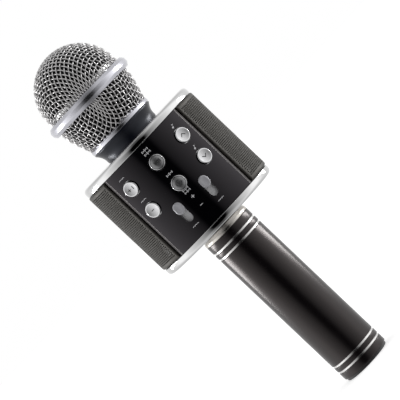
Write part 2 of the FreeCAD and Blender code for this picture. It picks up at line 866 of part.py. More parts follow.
def make_button(label, turn, height):
    """Make one button: a dished cap, a flange behind the panel and a stem."""
    face = "-(panel_face + button_proud)"
    flange = "-(flange_back + button_flange)"
    foot = "-(switch_face + switch_plunger + button_travel + fit_gap)"
    body = turned(label, [
        ("0", f"{face} + button_dish"),
        ("button_radius - button_rim - button_dish", f"{face} + button_dish"),
        ("button_radius - button_rim", face),
        ("button_radius - button_dish", face, "button_dish", "left"),
        ("button_radius", f"{face} + button_dish"),
        ("button_radius", flange),
        ("button_flange_radius", flange),
        ("button_flange_radius", f"{flange} + button_flange"),
        ("button_stem_radius", f"{flange} + button_flange"),
        ("button_stem_radius", foot),
        ("0", foot),
    ], axis="y")
    swing(body, turn, z=height)


def make_slider(sign):
    """Make one slider: its pill-shaped knob with a lever, and the shutter behind its slot."""
    side = side_name(sign)
    turn = signed(sign, "slider_angle")
    foot = ("front_centre - (board_face + fader_depth + ease_gap + front_centre"
            " + lever_half*sin(slider_angle))/cos(slider_angle)")
    shoulder = "-(panel_face + ease_gap)"
    face = "-(panel_face + knob_proud)"
    body = new_body(f"{side}_slider_knob")
    cap = new_sketch(body, "XZ_Plane", f"-({shoulder})")
    straight = "knob_length/2 - knob_half"
    draw(cap, [
        ("knob_half", f"-({straight})"),
        ("knob_half", straight, "knob_half", "left"),
        ("0", "knob_length/2", "knob_half", "left"),
        ("-knob_half", straight),
        ("-knob_half", f"-({straight})", "knob_half", "left"),
        ("0", "-knob_length/2", "knob_half", "left"),
    ])
    pad = raise_pad(body, cap, f"({shoulder}) - ({face})")
    doc.recompute()
    front = number(face)
    round_edges(body, pad, "knob_proud/5",
                lambda edge: abs(edge.BoundBox.YMin - front) < 1e-4
                and abs(edge.BoundBox.YMax - front) < 1e-4)
    lever = new_sketch(body, "XZ_Plane", f"-({foot})")
    draw(lever, rectangle("-lever_half", f"-({straight})", "lever_half", straight))
    raise_pad(body, lever, f"({foot}) - ({shoulder})")
    keep(body, body.Name)
    swing(body, turn, z="box_low + knob_row")
    tall = "slot_length + slider_travel"
    low = ("-shutter_half", "-(panel_back - ease_gap)", "0")
    high = ("shutter_half", "-(panel_back - ease_gap) + shutter_sheet", f"{tall} + 2*shutter_overlap")
    foot_z = "box_low + slot_height - slot_length/2 - shutter_overlap"
    plate = block(f"{side}_shutter_plate", low, high)
    swing(plate, turn, z=foot_z, x=low[0], y=low[1])
    way = ("-lever_half - fit_gap", "-panel_back", "0")
    way_high = ("lever_half + fit_gap", "-board_face", f"2*({straight}) + 2*fit_gap")
    window = block(f"{side}_shutter_window", way, way_high)
    swing(window, turn, z=f"box_low + knob_row - ({straight}) - fit_gap", x=way[0], y=way[1])
    keep(cut_from(f"{side}_slider_shutter", plate, window), f"{side}_slider_shutter")


def make_keys():
    """Make the boards behind the front panel, their key switches and the two faders."""
    low, high = "box_low + frame_rim + ease_gap", "box_high - frame_rim - ease_gap"
    board = block("main_board", ("-main_board_half", "-board_face", low),
                  ("main_board_half", "-board_face + board_thickness", high))
    keep(board, "main_board")
    for sign in (1, -1):
        name = f"{side_name(sign)}_key_board"
        keep(swung_block(
            name,
            ("-key_board_half", "-board_face", "box_low + row_low - key_board_half"),
            ("key_board_half", "-board_face + board_thickness",
             "box_low + row_high + key_board_half"),
            signed(sign, "button_angle")), name)
    parts = []
    for label, turn, height in button_spots():
        half = "switch_side/2"
        parts.append(swung_block(f"{label}_switch", (f"-{half}", "-switch_face", f"{height} - {half}"),
                                 (half, "-board_face", f"{height} + {half}"), turn))
        parts.append(square_rod(f"{label}_plunger", "switch_plunger_radius", "switch_plunger",
                                "switch_face", turn, height))
    keep(joined("key_switches", parts), "key_switches")
    for sign in (1, -1):
        centre = signed(sign, "(front_radius - panel_inset)*sin(slider_angle)")
        name = f"{side_name(sign)}_fader"
        keep(block(name,
                   (f"{centre} - fader_half", "-board_face - fader_depth",
                    "box_low + slot_height - fader_length/2"),
                   (f"{centre} + fader_half", "-board_face",
                    "box_low + slot_height + fader_length/2")), name)


# --- Back of the box -------------------------------------------------------------------------

def shell_socket(label, width, height, wall, tongue, middle):
    """Make a rectangular socket: a metal shell, a back and a tongue, opening towards +Y."""
    back = "port_board_face"
    outside = block(f"{label}_outside", (f"-{width}/2", back, f"{middle} - {height}/2"),
                    (f"{width}/2", "port_face", f"{middle} + {height}/2"))
    inside = block(f"{label}_inside",
                   (f"-{width}/2 + {wall}", f"{back} + 2*{wall}", f"{middle} - {height}/2 + {wall}"),
                   (f"{width}/2 - {wall}", "port_face + ease_gap",
                    f"{middle} + {height}/2 - {wall}"))
    shell = cut_from(f"{label}_shell", outside, inside)
    if tongue is None:
        return keep(shell, label)
    blade = block(f"{label}_blade",
                  (f"-{width}/2 + 4*{wall}", back, f"{middle} + {height}/2 - 2*{wall} - {tongue}"),
                  (f"{width}/2 - 4*{wall}", "port_face - port_recess",
                   f"{middle} + {height}/2 - 2*{wall}"))
    return keep(joined(label, [shell, blade]), label)


def make_back():
    """Make the rear panel, the port board, the sockets, the lamp and the power switch."""
    rows = {name: f"box_low + {name}_row" for name in
            ("power", "lamp", "jack", "usb", "micro", "card")}
    blank = make_panel("rear_panel_blank", 1)
    tools = []
    for name, width, height in (("usb", "usb_width", "usb_height"),
                                ("micro", "micro_width", "micro_height"),
                                ("card", "card_width", "card_height")):
        tools.append(block(f"{name}_way",
                           (f"-{width}/2 - port_margin", "panel_back - frame_wall",
                            f"{rows[name]} - {height}/2 - port_margin"),
                           (f"{width}/2 + port_margin", "half_depth",
                            f"{rows[name]} + {height}/2 + port_margin")))
    tools.append(block("power_way",
                       ("-(power_knob_width + power_travel)/2 - port_margin",
                        "panel_back - frame_wall",
                        f"{rows['power']} - power_knob_height/2 - port_margin"),
                       ("(power_knob_width + power_travel)/2 + port_margin", "half_depth",
                        f"{rows['power']} + power_knob_height/2 + port_margin")))
    for name, radius in (("jack", "jack_radius"), ("lamp", "lamp_radius")):
        tools.append(rod(f"{name}_way", ("0", "panel_back - frame_wall", rows[name]),
                         f"{radius} + port_margin", "2*panel_wall + frame_wall", (0, 1, 0)))
    keep(cut_from("rear_panel", blank, joined("rear_panel_openings", tools)), "rear_panel")
    keep(block("port_board",
               ("-main_board_half", "port_board_face - board_thickness",
                "box_low + frame_rim + ease_gap"),
               ("main_board_half", "port_board_face", "box_high - frame_rim - ease_gap")),
         "port_board")
    shell_socket("usb_socket", "usb_width", "usb_height", "usb_wall", "usb_tongue", rows["usb"])
    shell_socket("charging_socket", "micro_width", "micro_height", "micro_wall", "micro_tongue",
                 rows["micro"])
    shell_socket("memory_card_slot", "card_width", "card_height", "card_wall", None, rows["card"])
    housing = block("jack_housing",
                    ("-jack_body/2", "port_board_face", f"{rows['jack']} - jack_body/2"),
                    ("jack_body/2", "panel_back - 2*ease_gap", f"{rows['jack']} + jack_body/2"))
    barrel = rod("jack_barrel", ("0", "port_board_face", rows["jack"]), "jack_radius",
                 "port_board_depth - port_recess", (0, 1, 0))
    bore = rod("jack_bore_tool", ("0", "port_face - jack_bore_length", rows["jack"]), "jack_bore",
               "jack_bore_length + port_recess", (0, 1, 0))
    keep(cut_from("headphone_jack", joined("jack_solid", [housing, barrel]), bore),
         "headphone_jack")
    lamp = rod("indicator_lamp", ("0", "port_board_face", rows["lamp"]), "lamp_radius",
               "port_board_depth - ease_gap", (0, 1, 0))
    keep(lamp, "indicator_lamp")
    keep(block("power_switch",
               ("-power_body_width/2", "port_board_face", f"{rows['power']} - power_body_height/2"),
               ("power_body_width/2", "port_board_face + power_body_depth",
                f"{rows['power']} + power_body_height/2")), "power_switch")
    stem = block("power_knob_stem",
                 ("-(power_travel + power_knob_width)/2", "port_board_face + power_body_depth"
                  " + fit_gap", f"{rows['power']} - power_knob_height/2"),
                 ("(power_knob_width - power_travel)/2", "panel_face + power_proud",
                  f"{rows['power']} + power_knob_height/2"))
    keep(stem, "power_switch_knob")


# --- Loudspeakers ----------------------------------------------------------------------------

def make_speaker(sign):
    """Make one loudspeaker and the baffle that it is fixed to, facing its side cover."""
    side = side_name(sign)
    face = signed(sign, "speaker_face")
    seat = signed(sign, "speaker_face - speaker_flange")
    back = signed(sign, "speaker_face - speaker_flange - speaker_depth")
    tail = signed(sign, "speaker_face - speaker_flange - speaker_depth - magnet_depth")
    inward = signed(-sign, "speaker_wall")

    frame = turned(f"{side}_speaker_frame", [
        (face, "speaker_radius"),
        (face, "cone_edge"),
        (f"{seat} + {inward}", "cone_edge"),
        (f"{back} - {inward}", "speaker_back - speaker_wall"),
        (f"{back} - {inward}", "cone_throat"),
        (back, "cone_throat"),
        (back, "speaker_back"),
        (f"{seat} + {inward}", "speaker_throat"),
        (seat, "speaker_throat"),
        (seat, "speaker_radius"),
    ], axis="x")
    magnet = turned(f"{side}_speaker_magnet", [
        (back, "0"),
        (back, "magnet_radius"),
        (tail, "magnet_radius"),
        (tail, "0"),
    ], axis="x")
    crown = signed(sign, "surround_height")
    sheet_out = signed(sign, "cone_sheet")
    dome = f"{back} + {signed(sign, 'speaker_depth*0.45')}"
    cone = turned(f"{side}_speaker_cone", [
        (dome, "0"),
        (f"{dome} + {sheet_out}", "0"),
        (f"{dome} + {sheet_out} - {crown}/2", "cone_throat"),
        (f"{face} - {sheet_out}", "cone_edge - 3*surround_height"),
        (f"{face} + {crown} - {sheet_out}", "cone_edge - 1.5*surround_height"),
        (f"{face} + {sheet_out}", "cone_edge + ease_gap"),
        (face, "cone_edge + ease_gap"),
        (face, "cone_edge - fit_gap"),
        (f"{face} - {sheet_out}", "cone_edge - fit_gap - ease_gap"),
        (f"{face} + {crown} - 2*{sheet_out}", "cone_edge - 1.5*surround_height"),
        (f"{face} - 2*{sheet_out}", "cone_edge - 3*surround_height"),
        (f"{dome} - {crown}/2", "cone_throat"),
    ], axis="x")
    for piece in (frame, magnet, cone):
        place(piece, z="speaker_mid")
    ends = sorted((signed(sign, "baffle_x"), signed(sign, "baffle_x + baffle_thickness")),
                  key=number)
    board = block(f"{side}_baffle_board",
                  (ends[0], "-baffle_half", "box_low + ease_gap"),
                  (ends[1], "baffle_half", "box_high - ease_gap"))
    hole = rod(f"{side}_baffle_hole", (signed(sign, "baffle_x - ease_gap"), "0", "speaker_mid"),
               "baffle_hole", "baffle_thickness + 2*ease_gap", (sign, 0, 0))
    keep(cut_from(f"{side}_speaker_baffle", board, hole), f"{side}_speaker_baffle")


# --- Neck, head and capsule ------------------------------------------------------------------

def make_neck():
    """Make the flared neck, with the spigot that the head screws on to."""
    turned("neck_collar", [
        ("neck_bore", "neck_low"),
        ("neck_waist_radius", "neck_low"),
        ("neck_waist_radius", "neck_low + neck_waist", "neck_curve", "right"),
        ("neck_top_radius", "head_low"),
        ("neck_spigot_radius", "head_low"),
        ("neck_spigot_radius", "spigot_top"),
        ("neck_bore", "spigot_top"),
    ])


def basket_steps(inset, low, radius_in):
    """Return the basket's outline from a low point up to the band, moved in by an inset."""
    return [
        (radius_in, low),
        (f"basket_knee_radius - ({inset})", "basket_knee", "basket_arc", "left"),
        (f"grille_radius - ({inset})", "band_low"),
    ]


def make_head():
    """Make the ring, the basket, the hoop, the band, the dome and the lining."""
    sleeve_bore = "neck_spigot_radius + fit_gap"
    turned("grille_base_ring", [
        (sleeve_bore, "head_low + fit_gap"),
        ("base_ring_radius", "head_low + fit_gap"),
        ("base_ring_radius", "basket_low"),
        ("ring_sleeve_radius", "basket_low"),
        ("ring_sleeve_radius", "basket_low + ring_sleeve"),
        (sleeve_bore, "basket_low + ring_sleeve"),
    ])
    inner = "grille_thickness"
    outward = basket_steps("0", "basket_low", "basket_radius")
    inward = [
        (f"grille_radius - {inner}", "band_middle - fit_gap"),
        (f"grille_radius - {inner}", "band_low", "basket_arc", "right"),
        (f"basket_knee_radius - {inner}", "basket_knee"),
        (f"basket_radius - {inner}", "basket_low"),
    ]
    turned("grille_basket", [*outward, ("grille_radius", "band_middle - fit_gap"), *inward])
    turned("grille_band", [
        ("grille_radius + fit_gap/4", "band_low"),
        ("band_edge_radius", "band_low"),
        ("band_radius", "band_middle - band_flat/2"),
        ("band_radius", "band_middle + band_flat/2"),
        ("band_edge_radius", "band_high"),
        ("grille_radius + fit_gap/4", "band_high"),
    ])
    turned("grille_hoop", [
        ("grille_radius - grille_thickness - hoop_sheet", "band_low"),
        ("grille_radius - grille_thickness - fit_gap/4", "band_low + hoop_sheet"),
        ("grille_radius - grille_thickness - fit_gap/4", "dome_centre - hoop_sheet"),
        ("grille_radius - grille_thickness - hoop_sheet", "dome_centre"),
    ])
    turned("grille_dome", [
        ("grille_radius - grille_thickness", "band_middle + fit_gap"),
        ("grille_radius", "band_middle + fit_gap"),
        ("grille_radius", "dome_centre", "grille_radius", "left"),
        ("0", "dome_centre + grille_radius"),
        ("0", "dome_centre + grille_radius - grille_thickness",
         "grille_radius - grille_thickness", "right"),
        ("grille_radius - grille_thickness", "dome_centre"),
    ])
    thick = "lining_inset + lining_thickness"
    slope = "lining_start*tan(basket_slope)"
    turned("foam_lining", [
        (f"basket_radius - (lining_inset) + {slope}", "lining_low"),
        ("basket_knee_radius - (lining_inset)", "basket_knee", "basket_arc", "left"),
        ("grille_radius - (lining_inset)", "band_low"),
        ("grille_radius - (lining_inset)", "dome_centre", "grille_radius - (lining_inset)", "left"),
        ("0", "dome_centre + grille_radius - (lining_inset)"),
        ("0", f"dome_centre + grille_radius - ({thick})", f"grille_radius - ({thick})", "right"),
        (f"grille_radius - ({thick})", "dome_centre"),
        (f"grille_radius - ({thick})", "band_low", "basket_arc", "right"),
        (f"basket_knee_radius - ({thick})", "basket_knee"),
        (f"basket_radius - ({thick}) + {slope}", "lining_low"),
    ])


def make_capsule():
    """Make the holder on the neck, the rubber cushion and the capsule."""
    cup = "capsule_radius + cushion_thickness"
    flange_top = "spigot_top + holder_flange"
    cup_low = "holder_top - holder_cup"
    turned("capsule_holder", [
        ("holder_neck_radius - holder_wall", "spigot_top"),
        ("holder_flange_radius", "spigot_top"),
        ("holder_flange_radius", flange_top),
        ("holder_neck_radius", flange_top),
        ("holder_neck_radius", f"{cup_low} - holder_wall"),
        (f"{cup} + holder_wall", f"{cup_low} + holder_wall"),
        (f"{cup} + holder_wall", "holder_top"),
        (f"{cup} + fit_gap/4", "holder_top"),
        (f"{cup} + fit_gap/4", f"{cup_low} + holder_wall"),
        ("holder_neck_radius - holder_wall", f"{cup_low} + holder_wall"),
    ])
    turned("capsule_cushion", [
        ("capsule_radius + fit_gap/4", "capsule_low + fit_gap"),
        (cup, "capsule_low + fit_gap"),
        (cup, "holder_top + cushion_thickness"),
        ("capsule_radius + fit_gap/4", "holder_top + cushion_thickness"),
    ])
    turned("microphone_capsule", [
        ("0", "capsule_low + fit_gap"),
        ("capsule_radius", "capsule_low + fit_gap"),
        ("capsule_radius", "capsule_low + capsule_height", "cushion_thickness", "left"),
        ("capsule_radius - cushion_thickness", "capsule_low + capsule_height + cushion_thickness"),
        ("0", "capsule_low + capsule_height + cushion_thickness"),
    ])


def check():
    """Stop if any object failed, or if a sub-part isn't made of sound closed solids."""
    for item in doc.Objects:
        if {"Invalid", "Error"} & set(item.State):
            raise RuntimeError(f"{item.Name} failed: {item.State}")
    for piece in pieces:
        shape = piece.Shape
        if shape.isNull() or not shape.isValid() or not shape.Solids:
            raise RuntimeError(f"{piece.Label} isn't a sound solid")


def main():
    """Build every sub-part, check the document and write one file for each sub-part."""
    make_handle()
    make_battery()
    make_plates()
    make_frame()
    for sign in (1, -1):
        make_cover(sign)
    make_front_panel()
    for label, turn, height in button_spots():
        make_button(label, turn, height)
    for sign in (1, -1):
        make_slider(sign)
    make_keys()
    make_back()
    for sign in (1, -1):
        make_speaker(sign)
    make_neck()
    make_head()
    make_capsule()
    doc.recompute()
    check()
    os.makedirs("parts", exist_ok=True)
    for piece in pieces:
        piece.Shape.exportStep(os.path.join("parts", f"{piece.Label}.step"))
        print(f"{piece.Label}: {len(piece.Shape.Solids)} solid(s), {piece.Shape.Volume:.1f} mm3")
    print(f"{len(pieces)} sub-parts")


main()
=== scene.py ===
"""The looks of a hand-held karaoke microphone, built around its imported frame.

The microphone stands on the end of its handle, with its buttons towards -Y. Sizes in the classes are
millimetres, and every mesh is made in metres in the frame's own axes.
"""
from __future__ import annotations

import logging
import math
from contextlib import contextmanager
from dataclasses import dataclass, field
from enum import Enum
from typing import Any, Callable, Iterable, Iterator, Sequence

import bmesh
import bpy
import numpy as np
from mathutils import Matrix, Vector


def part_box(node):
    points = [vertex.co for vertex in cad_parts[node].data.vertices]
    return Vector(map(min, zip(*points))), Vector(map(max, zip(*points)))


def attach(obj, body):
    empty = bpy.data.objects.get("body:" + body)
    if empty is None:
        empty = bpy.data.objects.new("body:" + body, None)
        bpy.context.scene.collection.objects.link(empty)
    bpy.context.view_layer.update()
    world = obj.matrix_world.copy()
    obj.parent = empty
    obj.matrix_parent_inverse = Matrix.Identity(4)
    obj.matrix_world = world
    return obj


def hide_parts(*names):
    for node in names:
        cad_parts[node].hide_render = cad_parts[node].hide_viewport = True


MM = 0.001
LOG = logging.getLogger("karaoke_microphone")
Point = tuple[float, float]
SectionPoint = tuple[float, float, int]

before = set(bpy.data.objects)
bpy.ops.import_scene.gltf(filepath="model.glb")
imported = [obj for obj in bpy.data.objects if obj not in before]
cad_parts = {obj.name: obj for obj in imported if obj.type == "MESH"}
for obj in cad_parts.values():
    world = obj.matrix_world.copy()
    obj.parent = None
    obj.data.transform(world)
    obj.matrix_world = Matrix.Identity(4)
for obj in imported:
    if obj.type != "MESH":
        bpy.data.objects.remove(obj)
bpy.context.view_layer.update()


# --- Finishes ---------------------------------------------------------------------------------

class Texture(Enum):
    """The kinds of surface detail that a finish can have."""

    GRAIN = "grain"
    HAIRLINE = "hairline"
    SMUDGE = "smudge"
    CELLS = "cells"


def new_group(name: str, inputs: dict[str, tuple[str, float]],
              outputs: Sequence[str]) -> bpy.types.NodeTree:
    """Start a shader node group with named sockets.

    Args:
        name: The group's name.
        inputs: Each input's socket type and default value.
        outputs: The names of the value outputs.

    Returns:
        The new node tree.
    """
    tree = bpy.data.node_groups.new(name, "ShaderNodeTree")
    for label, (kind, default) in inputs.items():
        socket = tree.interface.new_socket(label, in_out="INPUT", socket_type=kind)
        if kind == "NodeSocketFloat":
            socket.default_value = default
    for label in outputs:
        tree.interface.new_socket(label, in_out="OUTPUT", socket_type="NodeSocketFloat")
    tree.nodes.new("NodeGroupInput").name = "in"
    tree.nodes.new("NodeGroupOutput").name = "out"
    return tree


def add_node(tree: bpy.types.NodeTree, kind: str, inputs: dict[str | int, Any] | None = None,
             **options: Any) -> bpy.types.Node:
    """Add a shader node, set its options, and then set or link its inputs.

    Args:
        tree: The node tree.
        kind: The node's type, without the "ShaderNode" that it starts with.
        inputs: A constant or another node's output for each input, by name or number.
        options: The node's own options, such as its operation.

    Returns:
        The node.
    """
    node = tree.nodes.new(f"ShaderNode{kind}")
    for option, value in options.items():
        setattr(node, option, value)
    for name, value in (inputs or {}).items():
        feed(tree, value, node.inputs[name])
    return node


def feed(tree: bpy.types.NodeTree, value: Any, socket: bpy.types.NodeSocket) -> None:
    """Link an output to an input socket, or set a constant on it.

    Args:
        tree: The node tree.
        value: The output socket or the constant.
        socket: The input.
    """
    if isinstance(value, bpy.types.NodeSocket):
        tree.links.new(value, socket)
    else:
        socket.default_value = value


def maths(tree: bpy.types.NodeTree, operation: str, *values: Any,
          clamp: bool = False) -> bpy.types.NodeSocket:
    """Add a maths node and return its output.

    Args:
        tree: The node tree.
        operation: What the node works out.
        values: The constants or outputs that it works on.
        clamp: True to keep the result between 0 and 1.

    Returns:
        The output socket.
    """
    node = add_node(tree, "Math", dict(enumerate(values)), operation=operation, use_clamp=clamp)
    return node.outputs[0]


def texture_group(kind: Texture) -> bpy.types.NodeTree:
    """Return the shared group for one kind of surface detail, and make it the first time.

    Every group takes Vector, Scale and Contrast, and puts out a Mask and a Height.

    Args:
        kind: The surface detail.

    Returns:
        The group's node tree.
    """
    found = bpy.data.node_groups.get(kind.value)
    if found:
        return found
    tree = new_group(kind.value, {"Vector": ("NodeSocketVector", 0.0), "Scale": ("NodeSocketFloat", 400.0),
                                  "Contrast": ("NodeSocketFloat", 0.5)}, ("Mask", "Height"))
    source, out = tree.nodes["in"].outputs, tree.nodes["out"].inputs
    stretch = (1, 1, 40) if kind is Texture.HAIRLINE else (1, 1, 1)
    place = add_node(tree, "Mapping", {"Vector": source["Vector"], "Scale": stretch}).outputs["Vector"]
    inputs = {"Vector": place, "Scale": source["Scale"]}
    if kind is Texture.CELLS:
        height = add_node(tree, "TexVoronoi", inputs).outputs["Distance"]
    else:
        inputs |= {"Detail": 2.0 if kind is Texture.SMUDGE else 5.0, "Roughness": 0.6}
        height = add_node(tree, "TexNoise", inputs).outputs["Fac"]
    broad = add_node(tree, "TexNoise", {"Vector": source["Vector"], "Detail": 3.0,
                                        "Scale": maths(tree, "MULTIPLY", source["Scale"], 0.07)})
    mixed = maths(tree, "MULTIPLY", height, broad.outputs["Fac"])
    feed(tree, maths(tree, "MULTIPLY_ADD", mixed, source["Contrast"], 0.0, clamp=True), out["Mask"])
    feed(tree, height, out["Height"])
    return tree


@dataclass(frozen=True)
class Finish:
    """One finish of the microphone: its two colours, its gloss and its surface detail."""

    name: str
    color: tuple[float, float, float]
    worn: tuple[float, float, float]
    roughness: tuple[float, float]
    metallic: float = 0.0
    coat: float = 0.0
    texture: Texture = Texture.GRAIN
    scale: float = 900.0
    contrast: float = 1.6
    bump: float = 0.08
    depth: float = 0.00005
    specular: float = 0.5
    tint: tuple[float, float, float] = (1.0, 1.0, 1.0)
    glow: float = 0.0

    def material(self) -> bpy.types.Material:
        """Return the finish's material, and make it the first time.

        Returns:
            The material.
        """
        label = f"look_{self.name}"
        found = bpy.data.materials.get(label)
        if found:
            return found
        material = bpy.data.materials.new(label)
        material.use_nodes = True
        tree = material.node_tree
        settings = {"Metallic": self.metallic, "Coat Weight": self.coat, "Coat Roughness": 0.03,
                    "Specular IOR Level": self.specular, "Specular Tint": (*self.tint, 1.0)}
        if self.glow:
            settings |= {"Emission Color": (*self.color, 1.0), "Emission Strength": self.glow}
        place = add_node(tree, "TexCoord").outputs["Object"]
        detail = add_node(tree, "Group", {"Vector": place, "Scale": self.scale, "Contrast": self.contrast},
                          node_tree=texture_group(self.texture)).outputs
        tint = add_node(tree, "Mix", {"A": (*self.color, 1.0), "B": (*self.worn, 1.0),
                                      "Factor": detail["Mask"]}, data_type="RGBA")
        gloss = add_node(tree, "MapRange", {"Value": detail["Mask"], "To Min": self.roughness[0],
                                            "To Max": self.roughness[1]})
        bump = add_node(tree, "Bump", {"Strength": self.bump, "Distance": self.depth,
                                       "Height": detail["Height"]})
        settings |= {"Base Color": tint.outputs["Result"], "Roughness": gloss.outputs["Result"],
                     "Normal": bump.outputs["Normal"]}
        for name, value in settings.items():
            feed(tree, value, tree.nodes["Principled BSDF"].inputs[name])
        return material


HANDLE_BLACK = Finish("handle_black", (0.002, 0.0015, 0.002), (0.005, 0.0035, 0.0045), (0.22, 0.28),
                      scale=2600, bump=0.06, specular=0.55, tint=(1.0, 0.90, 0.88))
GROOVE_CUT = Finish("groove_cut", (0.80, 0.79, 0.78), (0.66, 0.65, 0.64), (0.16, 0.30), metallic=1.0,
                    texture=Texture.HAIRLINE, scale=1500)
CAP_BLACK = Finish("cap_black", (0.015, 0.015, 0.016), (0.03, 0.03, 0.031), (0.45, 0.6), scale=2200,
                   bump=0.3)
FERRULE = Finish("ferrule_plating", (0.66, 0.63, 0.59), (0.56, 0.53, 0.49), (0.16, 0.28), metallic=1.0,
                 texture=Texture.HAIRLINE, scale=700, bump=0.02)
PLATE_CHROME = Finish("plate_chrome", (0.76, 0.76, 0.76), (0.70, 0.70, 0.70), (0.04, 0.10), metallic=1.0,
                      texture=Texture.SMUDGE, scale=120, bump=0.01)
PANEL_GLOSS = Finish("panel_gloss", (0.0012, 0.0012, 0.0018), (0.003, 0.0028, 0.004), (0.05, 0.14),
                     tint=(1.0, 0.93, 1.0), texture=Texture.SMUDGE, scale=160, bump=0.01)
# Pale grey for the black panel's two bevel faces: a painted highlight line along each edge.
PANEL_EDGE_HIGHLIGHT = Finish("panel_edge_highlight", (0.30, 0.28, 0.28), (0.20, 0.19, 0.19), (0.3, 0.4), scale=900)
NECK_GLOSS = Finish("neck_gloss", (0.002, 0.0030, 0.0075), (0.004, 0.005, 0.011), (0.26, 0.34),
                    specular=0.55, tint=(0.86, 0.90, 1.0), texture=Texture.SMUDGE, scale=180, bump=0.0)
COVER_PAINT = Finish("cover_paint", (0.052, 0.048, 0.042), (0.085, 0.08, 0.072), (0.42, 0.55),
                     metallic=0.35, scale=1800, bump=0.1)
WIRE_NICKEL = Finish("wire_nickel", (0.80, 0.79, 0.79), (0.56, 0.55, 0.55), (0.22, 0.34), metallic=1.0,
                     scale=1500, contrast=2.2, bump=0.06)
BAND_CHROME = Finish("band_chrome", (0.68, 0.68, 0.73), (0.58, 0.58, 0.63), (0.18, 0.26), metallic=1.0,
                     texture=Texture.HAIRLINE, scale=600, bump=0.02)
BUTTON_SILVER = Finish("button_silver", (0.66, 0.66, 0.67), (0.54, 0.54, 0.55), (0.18, 0.28),
                       metallic=0.92, scale=2400, bump=0.06)
BUTTON_RIM = Finish("button_rim", (0.86, 0.86, 0.87), (0.74, 0.74, 0.75), (0.10, 0.18), metallic=1.0,
                    texture=Texture.HAIRLINE, scale=1500, bump=0.02)
SLIDER_SILVER = Finish("slider_silver", (0.52, 0.52, 0.55), (0.44, 0.44, 0.47), (0.3, 0.42),
                       metallic=0.3, scale=2400, bump=0.1)
SHUTTER_SILVER = Finish("shutter_silver", (0.90, 0.90, 0.92), (0.80, 0.80, 0.82), (0.34, 0.48),
                        metallic=0.1, scale=2000, bump=0.1)
SYMBOL_DARK = Finish("symbol_dark", (0.03, 0.03, 0.032), (0.06, 0.06, 0.06), (0.4, 0.5), scale=3000)
PRINT_PALE = Finish("print_pale", (0.80, 0.80, 0.82), (0.66, 0.66, 0.68), (0.45, 0.6), scale=3000)
FOAM = Finish("lining_foam", (0.006, 0.006, 0.007), (0.018, 0.018, 0.018), (0.85, 0.98),
              texture=Texture.CELLS, scale=1400, contrast=2.0, bump=0.9, depth=0.0004, specular=0.15)
FRAME_BLACK = Finish("frame_black", (0.020, 0.020, 0.021), (0.035, 0.035, 0.036), (0.5, 0.65),
                     scale=1600, bump=0.2)
BOARD_GREEN = Finish("board_green", (0.012, 0.095, 0.045), (0.02, 0.14, 0.07), (0.25, 0.4), scale=700,
                     contrast=2.2, bump=0.1)
STEEL = Finish("socket_steel", (0.62, 0.62, 0.62), (0.48, 0.48, 0.48), (0.2, 0.36), metallic=1.0,
               texture=Texture.HAIRLINE, scale=900, bump=0.05)
BRASS = Finish("contact_brass", (0.78, 0.58, 0.26), (0.62, 0.44, 0.18), (0.2, 0.35), metallic=1.0,
               texture=Texture.HAIRLINE, scale=900)
PAPER = Finish("cone_paper", (0.022, 0.022, 0.022), (0.05, 0.05, 0.05), (0.75, 0.9), scale=1800,
               contrast=2.0, bump=0.5, depth=0.0002)
CELL_WRAP = Finish("cell_wrap", (0.03, 0.16, 0.40), (0.04, 0.20, 0.46), (0.2, 0.3),
                   texture=Texture.SMUDGE, scale=150)
RUBBER = Finish("cushion_rubber", (0.018, 0.018, 0.018), (0.035, 0.035, 0.035), (0.7, 0.85), scale=1500,
                bump=0.3)
CAPSULE = Finish("capsule_metal", (0.62, 0.62, 0.62), (0.5, 0.5, 0.5), (0.25, 0.4), metallic=1.0,
                 texture=Texture.HAIRLINE, scale=900)
LAMP = Finish("lamp_clear", (0.35, 0.55, 0.9), (0.4, 0.6, 0.95), (0.2, 0.35), texture=Texture.SMUDGE,
              scale=500, glow=0.6)
FLOOR = Finish("pale_floor", (0.90, 0.90, 0.90), (0.88, 0.88, 0.88), (0.7, 0.8), scale=60, bump=0.0,
               glow=0.6)


# --- Mesh making ------------------------------------------------------------------------------

def put_mesh(name: str, vertices: Sequence[Sequence[float]], faces: Sequence[Sequence[int]],
             finishes: Sequence[Finish], chosen: Sequence[int] | None = None,
             sharp: float = 32.0) -> bpy.types.Object:
    """Make a mesh object from millimetre points.

    Args:
        name: The object's name.
        vertices: Points in millimetres.
        faces: Faces as rows of point numbers.
        finishes: The finishes of the material slots.
        chosen: The slot of each face, or None for the first slot.
        sharp: Edges that turn by more degrees than this stay crisp.

    Returns:
        The object, linked to the scene.
    """
    mesh = bpy.data.meshes.new(name)
    mesh.from_pydata([tuple(float(c) * MM for c in vertex) for vertex in vertices], [], faces)
    for finish in finishes:
        mesh.materials.append(finish.material())
    if chosen is not None:
        mesh.polygons.foreach_set("material_index", list(chosen))
    mesh.polygons.foreach_set("use_smooth", [True] * len(mesh.polygons))
    mesh.validate()
    mesh.set_sharp_from_angle(angle=math.radians(sharp))
    mesh.update()
    made = bpy.data.objects.new(name, mesh)
    bpy.context.scene.collection.objects.link(made)
    return made


@contextmanager
def opened(made: bpy.types.Object) -> Iterator[bmesh.types.BMesh]:
    """Open an object's mesh for changes, and write it back.

    Args:
        made: The object.

    Yields:
        The mesh, open for changes.
    """
    shape = bmesh.new()
    shape.from_mesh(made.data)
    yield shape
    shape.to_mesh(made.data)
    shape.free()


def outward(made: bpy.types.Object) -> bpy.types.Object:
    """Turn a closed mesh's faces outwards and return its object."""
    with opened(made) as shape:
        bmesh.ops.recalc_face_normals(shape, faces=shape.faces)
    return made


@dataclass(frozen=True)
class Corner:
    """A corner of a section: where it is, how far it is rounded, and the finish after it."""

    x: float
    z: float
    round: float = 0.0
    slot: int = 0


